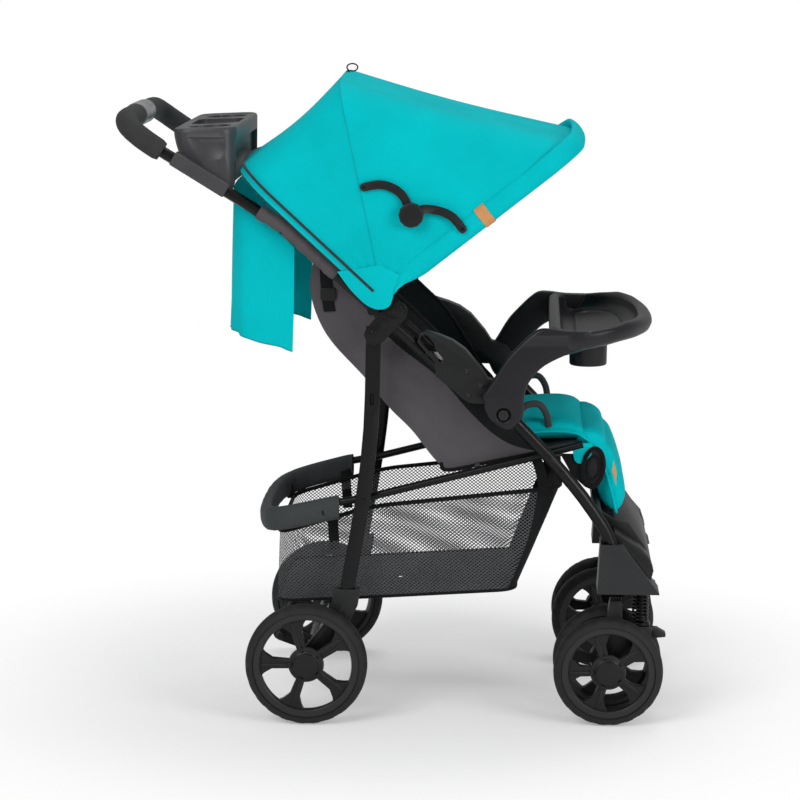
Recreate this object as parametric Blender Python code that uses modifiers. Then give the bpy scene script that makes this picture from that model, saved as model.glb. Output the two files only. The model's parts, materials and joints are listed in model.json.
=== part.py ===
"""Pram on a four-bar folding frame, with twin castors, two trays, a canopy and a basket.

Units are metres. X runs forward from the rear axle, Y to the pram's left, Z up from the floor.
The whole model hangs on one empty, which puts the middle of its box over the origin.
"""
import math

import bmesh
import bpy
from mathutils import Matrix, Vector

# The empty's place: half way between the handle and the swivel lock, seen from the rear axle.
CENTRE_SHIFT_X = -0.1301

# Side-view points, (x, z) from the rear axle and the floor.
REAR_AXLE = (0.0, 0.095)
FRONT_AXLE = (0.4655, 0.0851)
FOLD_PIVOT = (0.2485, 0.516)
LEG_PIVOT = (0.1036, 0.6084)
LINK_PIVOT = (0.087, 0.346)
SEAT_PIVOT = (0.371, 0.419)
RECLINE_PIVOT = (0.215, 0.400)
LEG_REST_PIVOT = (0.430, 0.448)
CANOPY_PIVOT = (0.120, 0.662)
KINGPIN_X = 0.515
TRAY_BUTTON = (0.3020, 0.4880)
TRAY_CUP = (0.4315, -0.100)
TUBE_BEND = (-0.030, 0.768)
GRIP_END = (-0.217, 0.883)
HANDLE_BAR = (-0.2757, 0.928)

# Distances from the middle plane to each layer of the frame.
FRAME_Y = 0.200
REAR_LEG_Y = 0.195
SEAT_TUBE_Y = 0.172
REAR_WHEEL_Y = 0.222
CASTOR_Y = 0.1705
TWIN_SPREAD = 0.0785
BOW_Y = 0.2155

# Tube radii.
PUSH_TUBE_R = 0.009
FRONT_LEG_R = 0.010
REAR_LEG_R = 0.0120
REAR_LEG_FLATTEN = 0.5
SEAT_TUBE_R = 0.006
BOW_R = 0.002

# Wheels.
TYRE_WIDTH = 0.0355
TYRE_DEPTH = 0.013
REAR_WHEEL_STEPS = 20
FRONT_WHEEL_STEPS = 18
SPOKES = 5
AXLE_R = 0.005
FRONT_AXLE_R = 0.004

# Height of the latch rods above the push tube's axis.
ROD_RISE = 0.0185

# Running clearances between solids.
GAP = 0.0004
LOOSE = 0.001

# Front leg's line, from its upper end to its foot in the castor housing.
FRONT_LEG = [(0.2371, 0.5590), (0.371, 0.419), (0.396, 0.3905), (0.4235, 0.357),
             (0.4545, 0.312), (0.4660, 0.288), (0.4850, 0.243)]

# Canopy bows: angle from the pivot, and reach to the top of the bow.
REAR_BOW = (math.radians(137.1), 0.2936)
MID_BOW = (math.radians(102.0), 0.333)
FRONT_BOW = (math.radians(38.0), 0.3765)
BOW_START = 0.0155
BOW_CORNER = 0.070
BOW_CROWN = 0.005
CLOTH_STAND_OFF = 0.0048
CLOTH_THICKNESS = 0.0016

# Canopy tensioner arms, on the outside of the cloth.
ARM_REAR_END = (0.091, 0.832)
ARM_ELBOW = (0.162, 0.791)
ARM_FRONT_END = (0.239, 0.770)

# Backrest.
BACK_ANGLE = math.radians(123)
BACK_LENGTH = 0.405
BOARD_THICKNESS = 0.008

# Suspension spring: a coil with both ends turned square to their seats.
SPRING_TURNS = 6
SPRING_R = 0.0115
WIRE_R = 0.0013
SPRING_LOW = 0.1558
SPRING_HIGH = 0.2066
POINTS_PER_TURN = 8

FINISHES = {
    "black_paint": ("#191A1C", 0.35, 0.3),
    "black_plastic": ("#242526", 0.5, 0.0),
    "tray_plastic": ("#2E2E30", 0.45, 0.0),
    "grey_plastic": ("#7A7C7E", 0.3, 0.2),
    "tyre": ("#1C1C1D", 0.7, 0.0),
    "foam": ("#3C3C3D", 0.85, 0.0),
    "teal_cloth": ("#00B4BA", 0.8, 0.0),
    "grey_cloth": ("#4D4B4D", 0.85, 0.0),
    "black_cloth": ("#1E1F20", 0.9, 0.0),
    "mesh_cloth": ("#5B5C5E", 0.9, 0.0),
    "bright_steel": ("#9A9C9E", 0.3, 1.0),
}

bodies = {}


def start_clean():
    """Remove the file's objects and open a collection for the pram."""
    for item in list(bpy.data.objects):
        bpy.data.objects.remove(item, do_unlink=True)
    pram = bpy.data.collections.new("pram")
    bpy.context.scene.collection.children.link(pram)
    return pram


PRAM = start_clean()


def finish(name):
    """Return the named material, made on first use."""
    known = bpy.data.materials.get(name)
    if known:
        return known
    code, roughness, metallic = FINISHES[name]
    channels = [int(code[i:i + 2], 16) / 255 for i in (1, 3, 5)]
    linear = [((c + 0.055) / 1.055) ** 2.4 if c > 0.04 else c / 12.92 for c in channels]
    made = bpy.data.materials.new(name)
    made.use_nodes = True
    shader = made.node_tree.nodes["Principled BSDF"]
    shader.inputs["Base Color"].default_value = (*linear, 1)
    shader.inputs["Roughness"].default_value = roughness
    shader.inputs["Metallic"].default_value = metallic
    made.diffuse_color = (*linear, 1)
    return made


def add_body(name, place, parent=None):
    """Add a moving body: an empty that stands on its joint's axis."""
    empty = bpy.data.objects.new("body_" + name, None)
    PRAM.objects.link(empty)
    empty.location = place
    if parent:
        carrier = bodies[parent]
        empty.parent = carrier
        empty.matrix_parent_inverse = Matrix.Translation(carrier["place"]).inverted()
    empty["place"] = place
    bodies[name] = empty


def keep(item, name, finish_name, body):
    """Name a finished solid, give it its finish and hang it on its body."""
    item.name = name
    item.data.name = name
    item.data.materials.clear()
    item.data.materials.append(finish(finish_name))
    work = bmesh.new()
    work.from_mesh(item.data)
    broad = [face for face in work.faces if len(face.verts) > 4]
    bmesh.ops.triangulate(work, faces=broad, ngon_method="EAR_CLIP")
    work.to_mesh(item.data)
    work.free()
    item.data.shade_smooth()
    item.data.set_sharp_from_angle(angle=math.radians(35))
    item.parent = bodies[body]
    item.matrix_parent_inverse = Matrix.Translation(bodies[body]["place"]).inverted()
    return item


def mirrored(item):
    """Copy a solid to the other side of the middle plane."""
    mesh = item.data.copy()
    mesh.transform(Matrix.Scale(-1, 4, (0, 1, 0)))
    mesh.flip_normals()
    twin = bpy.data.objects.new(item.name, mesh)
    PRAM.objects.link(twin)
    return twin


def keep_pair(item, name, finish_name, right_body, left_body=None):
    """Keep a solid made on the right, and its mirror image on the left."""
    twin = mirrored(item)
    keep(item, name + "_right", finish_name, right_body)
    keep(twin, name + "_left", finish_name, left_body or right_body)


def link(data, name="shape"):
    """Put new curve or mesh data in the scene."""
    item = bpy.data.objects.new(name, data)
    PRAM.objects.link(item)
    return item


def bake(item):
    """Turn the evaluated shape into a plain welded mesh with its place in it."""
    bpy.context.view_layer.update()
    graph = bpy.context.evaluated_depsgraph_get()
    mesh = bpy.data.meshes.new_from_object(item.evaluated_get(graph))
    mesh.transform(item.matrix_world)
    bpy.data.objects.remove(item)
    work = bmesh.new()
    work.from_mesh(mesh)
    bmesh.ops.remove_doubles(work, verts=work.verts, dist=0.00002)
    bmesh.ops.dissolve_degenerate(work, edges=work.edges, dist=0.00001)
    bmesh.ops.recalc_face_normals(work, faces=work.faces)
    work.to_mesh(mesh)
    work.free()
    return link(mesh)


def boolean(target, tool, operation="UNION"):
    """Join a tool to a solid, or cut it away, and use the tool up."""
    change = target.modifiers.new("shape", "BOOLEAN")
    change.operation = operation
    change.object = tool
    result = bake(target)
    bpy.data.objects.remove(tool)
    return result


def joined(first, *others):
    """Union any number of overlapping solids."""
    for other in others:
        first = boolean(first, other)
    return first


def cut(target, *tools):
    """Cut any number of tools from a solid."""
    for tool in tools:
        target = boolean(target, tool, "DIFFERENCE")
    return target


def thicken(item, thickness, offset=0.0, even=True):
    """Give an open surface its wall."""
    wall = item.modifiers.new("wall", "SOLIDIFY")
    wall.thickness = thickness
    wall.offset = offset
    wall.use_even_offset = even
    return bake(item)


def lerp(a, b, t):
    """Point a share t of the way from a to b."""
    return tuple(p + (q - p) * t for p, q in zip(a, b))


def toward(start, end, distance):
    """Point at a distance from start in the direction of end."""
    return lerp(start, end, distance / math.dist(start, end))


def rounded(points, radius, steps=4):
    """Round the inner corners of an open path with short curves."""
    path = [points[0]]
    for before, corner, after in zip(points, points[1:], points[2:]):
        entry = toward(corner, before, radius)
        leave = toward(corner, after, radius)
        for k in range(steps + 1):
            t = k / steps
            path.append(lerp(lerp(entry, corner, t), lerp(corner, leave, t), t))
    path.append(points[-1])
    return path


def smooth_path(points, steps=4):
    """Pass a smooth curve through the points of an open path."""
    ends = [points[0], *points, points[-1]]
    path = []
    for p0, p1, p2, p3 in zip(ends, ends[1:], ends[2:], ends[3:]):
        for k in range(steps):
            t = k / steps
            path.append(tuple(
                0.5 * (2 * b + (c - a) * t + (2 * a - 5 * b + 4 * c - d) * t ** 2
                       + (3 * b - a - 3 * c + d) * t ** 3)
                for a, b, c, d in zip(p0, p1, p2, p3)))
    path.append(tuple(points[-1]))
    return path


def tube(points, radius, resolution=2, caps=True, flatten=1.0, level=0.0):
    """Tube along a path. flatten narrows it across the middle plane, about the level y."""
    curve = bpy.data.curves.new("tube", "CURVE")
    curve.dimensions = "3D"
    curve.bevel_depth = radius
    curve.bevel_resolution = resolution
    curve.use_fill_caps = caps
    spline = curve.splines.new("POLY")
    spline.points.add(len(points) - 1)
    for point, (x, y, z) in zip(spline.points, points):
        point.co = (x, y - level, z, 1)
    item = link(curve)
    item.scale.y = flatten
    item.location.y = level
    return bake(item)


def sleeve(points, outer, inner, resolution=2):
    """Hollow tube, open at both ends."""
    return thicken(tube(points, outer, resolution, caps=False), outer - inner, -1.0)


def plate(outline, low_y, high_y, holes=()):
    """Flat piece in the side plane, from low_y to high_y, with optional holes."""
    curve = bpy.data.curves.new("plate", "CURVE")
    curve.dimensions = "2D"
    curve.fill_mode = "BOTH"
    curve.extrude = abs(high_y - low_y) / 2
    for loop in (outline, *holes):
        spline = curve.splines.new("POLY")
        spline.points.add(len(loop) - 1)
        for point, (x, z) in zip(spline.points, loop):
            point.co = (x, z, 0, 1)
        spline.use_cyclic_u = True
    item = link(curve)
    item.rotation_euler.x = math.pi / 2
    item.location.y = (low_y + high_y) / 2
    return bake(item)


def capsule(start, end, radius, steps=4):
    """Outline of a bar with round ends, in the side plane."""
    heading = math.atan2(end[1] - start[1], end[0] - start[0])
    outline = []
    for centre, first in ((start, heading + math.pi / 2), (end, heading - math.pi / 2)):
        for k in range(steps + 1):
            angle = first + math.pi * k / steps
            outline.append((centre[0] + radius * math.cos(angle),
                            centre[1] + radius * math.sin(angle)))
    return outline


def disc(centre, radius, low_y, high_y, sides=12):
    """Round pin or disc across the middle plane."""
    bpy.ops.mesh.primitive_cylinder_add(
        vertices=sides, radius=radius, depth=abs(high_y - low_y),
        location=(centre[0], (low_y + high_y) / 2, centre[1]), rotation=(math.pi / 2, 0, 0))
    return adopt(bpy.context.object)


def post(x, y, low, high, radius, sides=12):
    """Upright round pin."""
    bpy.ops.mesh.primitive_cylinder_add(
        vertices=sides, radius=radius, depth=high - low, location=(x, y, (low + high) / 2))
    return adopt(bpy.context.object)


def block(low, high):
    """Box between two corners."""
    bpy.ops.mesh.primitive_cube_add(size=1)
    item = bpy.context.object
    item.location = [(a + b) / 2 for a, b in zip(low, high)]
    item.scale = [b - a for a, b in zip(low, high)]
    return adopt(item)


def adopt(item):
    """Move a new primitive into the pram's collection as a plain mesh."""
    for home in list(item.users_collection):
        home.objects.unlink(item)
    PRAM.objects.link(item)
    return bake(item)


def turned(profile, steps):
    """Ring from a closed (radius, height) profile about the Z axis."""
    mesh = bpy.data.meshes.new("profile")
    count = len(profile)
    mesh.from_pydata([(r, 0, h) for r, h in profile],
                     [(i, (i + 1) % count) for i in range(count)], [])
    item = link(mesh)
    spin = item.modifiers.new("spin", "SCREW")
    spin.angle = math.tau
    spin.steps = steps
    spin.render_steps = steps
    spin.use_merge_vertices = True
    spin.merge_threshold = 0.00001
    return bake(item)


def on_axle(item, centre, y, steps=0):
    """Lay a turned piece on its side, with its axis along Y and a facet of its rim below."""
    if steps:
        half_step = math.pi / steps
        first = math.ceil(steps / 4) * 2 - steps / 2
        item.data.transform(Matrix.Rotation(half_step * (1 - first), 4, "Z"))
        item.data.transform(Matrix.Diagonal((1 / math.cos(half_step),) * 2 + (1, 1)))
    item.data.transform(Matrix.Rotation(-math.pi / 2, 4, "X"))
    item.data.transform(Matrix.Translation((centre[0], y, centre[1])))
    return item


def loft(rows, closed=False):
    """Open surface through rows of points, each row with the same count."""
    work = bmesh.new()
    grid = [[work.verts.new(point) for point in row] for row in rows]
    for one, two in zip(grid, grid[1:]):
        count = len(one)
        for k in range(count if closed else count - 1):
            n = (k + 1) % count
            work.faces.new((one[k], one[n], two[n], two[k]))
    mesh = bpy.data.meshes.new("surface")
    work.to_mesh(mesh)
    work.free()
    return link(mesh)


def cushion(path, half_width, thickness, cells=(9, 6), pinch=0.03, channels=()):
    """Crowned pad along a side-view path, thin at its edges and drawn in at its sides."""
    edge_share = 0.35
    channel_width = 0.05
    channel_depth = 0.22
    lengths = [0.0]
    for a, b in zip(path, path[1:]):
        lengths.append(lengths[-1] + math.dist(a, b))
    work = bmesh.new()
    bmesh.ops.create_grid(work, x_segments=cells[0], y_segments=cells[1], size=1)
    mesh = bpy.data.meshes.new("pad")
    work.to_mesh(mesh)
    work.free()
    item = thicken(link(mesh), 1.0)
    for vertex in item.data.vertices:
        share = (vertex.co.x + 1) / 2
        across = vertex.co.y
        along = share * lengths[-1]
        k = max(i for i in range(len(path) - 1) if lengths[i] <= along + 1e-9)
        t = (along - lengths[k]) / (lengths[k + 1] - lengths[k])
        x, z = lerp(path[k], path[k + 1], t)
        heading = math.atan2(path[k + 1][1] - path[k][1], path[k + 1][0] - path[k][0])
        body = (1 - abs(2 * share - 1) ** 4) * (1 - abs(across) ** 4)
        height = thickness / 2 * (edge_share + (1 - edge_share) * math.sqrt(body))
        if vertex.co.z > 0:
            for line in channels:
                dip = math.exp(-((share - line) / channel_width) ** 2)
                height -= thickness * channel_depth * dip * math.sqrt(body)
        height = math.copysign(height, vertex.co.z)
        narrow = 1 - pinch * 4 * share * (1 - share)
        vertex.co = Vector((x - math.sin(heading) * height, across * half_width * narrow,
                            z + math.cos(heading) * height))
    return bake(item)


def rivets(places, low_y, high_y, radius=0.0045):
    """Rivet heads at a list of side-view places."""
    return [disc(place, radius, low_y, high_y, 8) for place in places]


def on_tube(along, above=0.0):
    """Side-view point up the push tube from the fold pivot, and above its axis."""
    span = math.dist(FOLD_PIVOT, TUBE_BEND)
    ux, uz = ((b - a) / span for a, b in zip(FOLD_PIVOT, TUBE_BEND))
    return (FOLD_PIVOT[0] + along * ux + above * uz, FOLD_PIVOT[1] + along * uz - above * ux)


def front_leg_path(grow=0.0):
    """Front leg's path. grow lengthens both ends, for a bore round it."""
    side_view = [toward(FRONT_LEG[0], FRONT_LEG[1], -grow), FRONT_LEG[0]]
    side_view += smooth_path(FRONT_LEG[1:], 2)
    side_view.append(toward(FRONT_LEG[-1], FRONT_LEG[-2], -grow))
    return [at(point, -FRAME_Y) for point in (side_view if grow else side_view[1:-1])]


def on_back(distance, offset=0.0):
    """Side-view point on the backrest, up from its hinge and forward of its board."""
    return (RECLINE_PIVOT[0] + distance * math.cos(BACK_ANGLE) + offset * math.sin(BACK_ANGLE),
            RECLINE_PIVOT[1] + distance * math.sin(BACK_ANGLE) - offset * math.cos(BACK_ANGLE))


def at(point, y):
    """Side-view point at a distance from the middle plane."""
    return (point[0], y, point[1])


def make_bodies():
    """Add every moving body, each on its joint's axis."""
    add_body("front_frame", (0, 0, 0))
    add_body("handle_frame", at(FOLD_PIVOT, 0), "front_frame")
    add_body("rear_frame", at(LEG_PIVOT, 0), "handle_frame")
    add_body("seat_frame", at(SEAT_PIVOT, 0), "front_frame")
    add_body("backrest", at(RECLINE_PIVOT, 0), "seat_frame")
    add_body("leg_rest", at(LEG_REST_PIVOT, 0), "seat_frame")
    add_body("child_tray", (0.40, 0, 0.600), "front_frame")
    add_body("release_collar", at(HANDLE_BAR, 0), "handle_frame")
    add_body("canopy_middle", at(CANOPY_PIVOT, 0), "handle_frame")
    add_body("canopy_front", at(CANOPY_PIVOT, 0), "canopy_middle")
    add_body("latch_rods", at(on_tube(0.127, ROD_RISE), 0), "handle_frame")
    add_body("arms_rear", at(ARM_REAR_END, 0), "canopy_middle")
    add_body("arms_front", at(ARM_FRONT_END, 0), "canopy_front")
    add_body("brake_pedal", at(REAR_AXLE, 0), "rear_frame")
    for name, side in (("right", -1), ("left", 1)):
        add_body("rear_wheel_" + name, at(REAR_AXLE, side * REAR_WHEEL_Y), "rear_frame")
        add_body("tray_button_" + name, at(TRAY_BUTTON, side * 0.231), "child_tray")
        add_body("suspension_" + name, (KINGPIN_X, side * CASTOR_Y, 0.155), "front_frame")
        add_body("castor_" + name, (KINGPIN_X, side * CASTOR_Y, 0.150), "suspension_" + name)
        add_body("swivel_lock_" + name, (0.5365, side * CASTOR_Y, 0.139), "castor_" + name)
        for row, sign in (("outer", 1), ("inner", -1)):
            y = side * (CASTOR_Y + sign * TWIN_SPREAD / 2)
            add_body("front_wheel_" + name + "_" + row, at(FRONT_AXLE, y), "castor_" + name)


def make_front_legs():
    """Front legs with their rivets, in the frame's plane."""
    leg = tube(front_leg_path(), FRONT_LEG_R, 3)
    heads = rivets([SEAT_PIVOT, (0.3918, 0.3945)], -FRAME_Y - 0.0115, -FRAME_Y)
    keep_pair(joined(leg, *heads), "front_leg", "black_paint", "front_frame")


def make_hinge_housings():
    """Moulded cheeks round the fold pivot, open behind and below for the push tube's swing."""
    outline = [(0.1705, 0.5965), (0.1754, 0.6107), (0.1831, 0.6127), (0.2063, 0.6055),
               (0.2249, 0.5978), (0.2435, 0.5847), (0.2667, 0.5574), (0.2777, 0.5403),
               (0.3020, 0.5320), (0.3190, 0.5100), (0.3180, 0.4880), (0.3000, 0.4780),
               (0.2830, 0.4860), (0.2740, 0.5025), (0.2593, 0.5028), (0.2500, 0.5039),
               (0.2375, 0.5117), (0.2220, 0.5257), (0.1987, 0.5445), (0.1975, 0.5650)]
    inner_face, outer_face = -0.1855, -0.2145
    slot_inner, slot_outer = -0.1895, -0.2105
    clear = PUSH_TUBE_R + 0.0006
    cheek = plate(outline, outer_face, inner_face)
    swing = plate([on_tube(-clear, clear), on_tube(0.16, clear), (0.10, 0.60), (0.10, 0.44),
                   (0.262, 0.44)], slot_outer, slot_inner)
    hook_wide, hook_narrow = (0.1816, 0.6006), (0.2067, 0.5695)
    hook = joined(plate(capsule(hook_wide, hook_narrow, 0.0035), -0.23, -0.17),
                  plate(capsule(hook_wide, lerp(hook_wide, hook_narrow, 0.35), 0.0070),
                        -0.22, -0.18))
    rod_way = plate(capsule(on_tube(0.084, ROD_RISE), on_tube(0.20, ROD_RISE), 0.0042),
                    -FRAME_Y - 0.0026, -FRAME_Y + 0.0026)
    bore = tube(front_leg_path(GAP), FRONT_LEG_R + 0.0006, 3)
    heads = rivets([(0.2459, 0.5527), (0.2669, 0.5309), FOLD_PIVOT],
                   outer_face - 0.001, outer_face + 0.001)
    housing = joined(cut(cheek, swing, hook, rod_way, bore), *heads)
    keep_pair(housing, "hinge_housing", "black_plastic", "front_frame")


def rounded_loop(points, radius, steps=3):
    """Round every corner of a closed outline."""
    count = len(points)
    path = []
    for i in range(count):
        before, corner, after = points[i - 1], points[i], points[(i + 1) % count]
        entry = toward(corner, before, radius)
        leave = toward(corner, after, radius)
        for k in range(steps + 1):
            t = k / steps
            path.append(lerp(lerp(entry, corner, t), lerp(corner, leave, t), t))
    return path


def make_front_housings():
    """Housings that join each front leg to its castor's kingpin."""
    floor_z = 0.207
    outer = plate([(0.447, floor_z), (0.452, 0.285), (0.486, 0.285), (0.543, floor_z)],
                  -0.214, -0.188)
    inner = plate([(0.447, floor_z), (0.452, 0.285), (0.474, 0.300), (0.514, 0.274),
                   (0.528, 0.258), (0.534, 0.240), (0.530, 0.224), (0.543, floor_z)],
                  -0.190, -0.148)
    bore = tube(front_leg_path(GAP)[4:], FRONT_LEG_R + 0.0006, 3)
    socket = post(KINGPIN_X, -CASTOR_Y, 0.200, 0.262, 0.0067)
    housing = cut(joined(outer, inner), bore, socket)
    keep_pair(housing, "front_housing", "black_plastic", "front_frame")


def make_foot_plate():
    """Foot plate between the front legs, a shell open behind, on its cross tube."""
    reach = 0.1465
    wall = 0.004
    skin = plate([(0.440, 0.343), (0.452, 0.326), (0.482, 0.308), (0.496, 0.306),
                  (0.521, 0.270), (0.532, 0.245), (0.528, 0.222), (0.505, 0.240),
                  (0.475, 0.285), (0.440, 0.316)], -reach, reach)
    pocket = plate([(0.448, 0.322), (0.480, 0.3025), (0.4935, 0.3015), (0.517, 0.2675),
                    (0.5275, 0.2445), (0.5245, 0.210), (0.450, 0.220), (0.425, 0.316)],
                   -reach + wall, reach - wall)
    crossbar = tube([(0.446, -0.1893, 0.331), (0.446, 0.1893, 0.331)], 0.007)
    keep(joined(cut(skin, pocket), crossbar), "foot_plate", "black_plastic", "front_frame")


def tyre_profile(radius):
    """Closed section of a tyre about the axle, as (radius, height)."""
    half = TYRE_WIDTH / 2
    side = [(TYRE_DEPTH, 0.80), (0.009, 1.0), (0.0, 0.5)]
    lower = [(radius - depth, -share * half) for depth, share in side]
    upper = [(radius - depth, share * half) for depth, share in reversed(side)]
    return lower + upper


def rim_profile(rim_radius, bore):
    """Closed section of a moulded rim: hub, disc and channel."""
    lip = 0.0135
    hub_half = 0.0172
    return [(bore, -hub_half), (0.018, -hub_half), (0.021, -0.004), (rim_radius - 0.010, -0.004),
            (rim_radius - 0.006, -lip), (rim_radius, -lip), (rim_radius, lip),
            (rim_radius - 0.008, 0.006), (0.021, 0.008), (0.018, hub_half), (bore, hub_half)]


def window_tool(rim_radius):
    """Five wedge cutters that leave the spokes of a rim standing."""
    inner, outer = 0.027, rim_radius - 0.011
    narrow, wide = math.radians(17), math.radians(25)
    depth = 0.03
    tools = []
    for spoke in range(SPOKES):
        middle = math.tau * (spoke + 0.5) / SPOKES + math.radians(34)
        wedge = [(radius * math.cos(middle + turn), radius * math.sin(middle + turn))
                 for radius, turn in ((inner, -narrow), (outer, -wide), (outer, wide),
                                      (inner, narrow))]
        tools.append(plate(wedge, -depth, depth))
    first = tools[0]
    work = bmesh.new()
    for tool in tools:
        work.from_mesh(tool.data)
    work.to_mesh(first.data)
    work.free()
    for tool in tools[1:]:
        bpy.data.objects.remove(tool)
    return first


def make_rear_wheels():
    """Rear rims and tyres, free on the rear axle."""
    rim_radius = REAR_AXLE[1] - TYRE_DEPTH - 0.0012
    rim = turned(rim_profile(rim_radius, AXLE_R + 0.0006), REAR_WHEEL_STEPS)
    rim = on_axle(rim, (0, 0), 0)
    rim = cut(rim, window_tool(rim_radius))
    tyre = turned(tyre_profile(REAR_AXLE[1]), REAR_WHEEL_STEPS)
    tyre = on_axle(tyre, (0, 0), 0, REAR_WHEEL_STEPS)
    move = Matrix.Translation(at(REAR_AXLE, -REAR_WHEEL_Y))
    for item, name, look in ((rim, "rear_rim", "black_plastic"), (tyre, "rear_tyre", "tyre")):
        item.data.transform(move)
        keep_pair(item, name, look, "rear_wheel_right", "rear_wheel_left")


def make_front_wheels():
    """Twin front wheels, each rim with its tyre bonded on."""
    radius = FRONT_AXLE[1]
    rim_radius = radius - TYRE_DEPTH
    rim = rim_profile(rim_radius, FRONT_AXLE_R + 0.0006)
    tyre = tyre_profile(radius)
    joint = 5
    section = rim[:joint] + tyre + rim[joint + 2:]
    wheel = on_axle(turned(section, FRONT_WHEEL_STEPS), (0, 0), 0, FRONT_WHEEL_STEPS)
    wheel = cut(wheel, window_tool(rim_radius))
    for side_name, side in (("right", -1), ("left", 1)):
        for row, sign in (("outer", 1), ("inner", -1)):
            name = "front_wheel_" + side_name + "_" + row
            mesh = wheel.data.copy()
            y = side * (CASTOR_Y + sign * TWIN_SPREAD / 2)
            mesh.transform(Matrix.Translation(at(FRONT_AXLE, y)))
            keep(link(mesh), name, "tyre", name)
    bpy.data.objects.remove(wheel)


def make_castors():
    """Kingpin, trailing fork with its axle, and swivel lock of each castor."""
    kingpin = joined(post(KINGPIN_X, -CASTOR_Y, 0.118, 0.246, 0.006),
                     post(KINGPIN_X, -CASTOR_Y, 0.150, 0.1555, 0.0155, 20))
    keep_pair(kingpin, "kingpin", "bright_steel", "suspension_right", "suspension_left")

    hub_x, hub_z = FRONT_AXLE
    hub_r = 0.014
    arc = [(hub_x + hub_r * math.cos(math.radians(a)), hub_z + hub_r * math.sin(math.radians(a)))
           for a in range(-40, -200, -32)]
    outline = [(0.530, 0.1495), (0.531, 0.128), (0.520, 0.113), (0.500, 0.108), *arc,
               (0.458, 0.130), (0.468, 0.190), (0.486, 0.190), (0.488, 0.1495)]
    half = 0.015
    fork = plate(outline, -CASTOR_Y - half, -CASTOR_Y + half)
    fork = cut(fork, post(KINGPIN_X, -CASTOR_Y, 0.1165, 0.160, 0.0067))
    axle = disc(FRONT_AXLE, FRONT_AXLE_R, -CASTOR_Y - 0.0575, -CASTOR_Y + 0.0575)
    keep_pair(joined(fork, axle), "castor_fork", "black_plastic", "castor_right", "castor_left")

    lever = plate([(0.5345, 0.146), (0.541, 0.146), (0.5545, 0.138), (0.5545, 0.1325),
                   (0.541, 0.131), (0.5345, 0.132)], -CASTOR_Y - 0.009, -CASTOR_Y + 0.009)
    keep_pair(lever, "swivel_lock", "black_plastic", "swivel_lock_right", "swivel_lock_left")


def spring_path():
    """Points of one suspension spring about its own axis."""
    count = round(SPRING_TURNS * POINTS_PER_TURN)
    lead = 2 * WIRE_R
    first, last = SPRING_LOW + lead, SPRING_HIGH - lead
    coil = []
    for i in range(count + 1):
        turn = math.tau * SPRING_TURNS * i / count
        coil.append((SPRING_R * math.cos(turn), SPRING_R * math.sin(turn),
                     first + (last - first) * i / count))
    start = (coil[0][0], coil[0][1], SPRING_LOW)
    end = (coil[-1][0], coil[-1][1], SPRING_HIGH)
    return [start, *coil, end]


def least_gap(points):
    """Least clear distance between a coil's neighbouring turns."""
    gap = min(math.dist(a, b) for i, a in enumerate(points)
              for b in points[i + POINTS_PER_TURN - 2:])
    return gap - 2 * WIRE_R


def make_springs():
    """Suspension springs round the kingpins."""
    path = spring_path()
    print("spring: least gap between turns", round(least_gap(path[1:-1]) * 1000, 2), "mm")
    spring = tube([(x + KINGPIN_X, y - CASTOR_Y, z) for x, y, z in path], WIRE_R, 1)
    keep_pair(spring, "suspension_spring", "black_paint", "front_frame")


def handle_half(y_sign):
    """Push tube's path from the grip's end to the middle of the handle bar."""
    x, z = HANDLE_BAR
    points = [(GRIP_END[0], FRAME_Y, GRIP_END[1]), (-0.245, 0.199, 0.9020),
              (-0.265, 0.189, 0.9175), (-0.2735, 0.166, 0.9260), (x, 0.120, z), (x, 0.0, z)]
    return [(px, y_sign * py, pz) for px, py, pz in points]


def handle_path():
    """Smooth path of the whole handle bar, from right to left."""
    right, left = handle_half(-1), handle_half(1)
    return smooth_path(right + left[-2::-1], 2)


def make_push_tube():
    """Push tube, foam grip, release collar and latch rods."""
    bar = handle_path()
    right = [at(FOLD_PIVOT, -FRAME_Y), at(TUBE_BEND, -FRAME_Y), bar[0]]
    left = [(x, -y, z) for x, y, z in right]
    lower_right = rounded(right, 0.07)[:-1]
    lower_left = rounded(left, 0.07)[:-1]
    frame = tube(lower_right + bar + lower_left[::-1], PUSH_TUBE_R)
    stop = on_tube(0.0876, 0.0010)
    for side in (-1, 1):
        frame = joined(frame, disc(stop, 0.0042, *sorted((side * FRAME_Y, side * 0.2100)), 10))
    keep(frame, "push_tube", "black_paint", "handle_frame")
    keep(sleeve(bar, 0.0148, 0.0102), "handle_grip", "foam", "handle_frame")

    collar_half = 0.0500
    ring = turned([(0.0154, -collar_half), (0.0178, -collar_half), (0.0186, 0.0),
                   (0.0178, collar_half), (0.0154, collar_half)], 16)
    keep(on_axle(ring, HANDLE_BAR, 0), "release_collar", "grey_plastic", "release_collar")

    rod = plate(capsule(on_tube(0.092, ROD_RISE), on_tube(0.162, ROD_RISE), 0.0035, 3),
                -FRAME_Y - 0.002, -FRAME_Y + 0.002)
    keep_pair(rod, "latch_rod", "bright_steel", "latch_rods")


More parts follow.
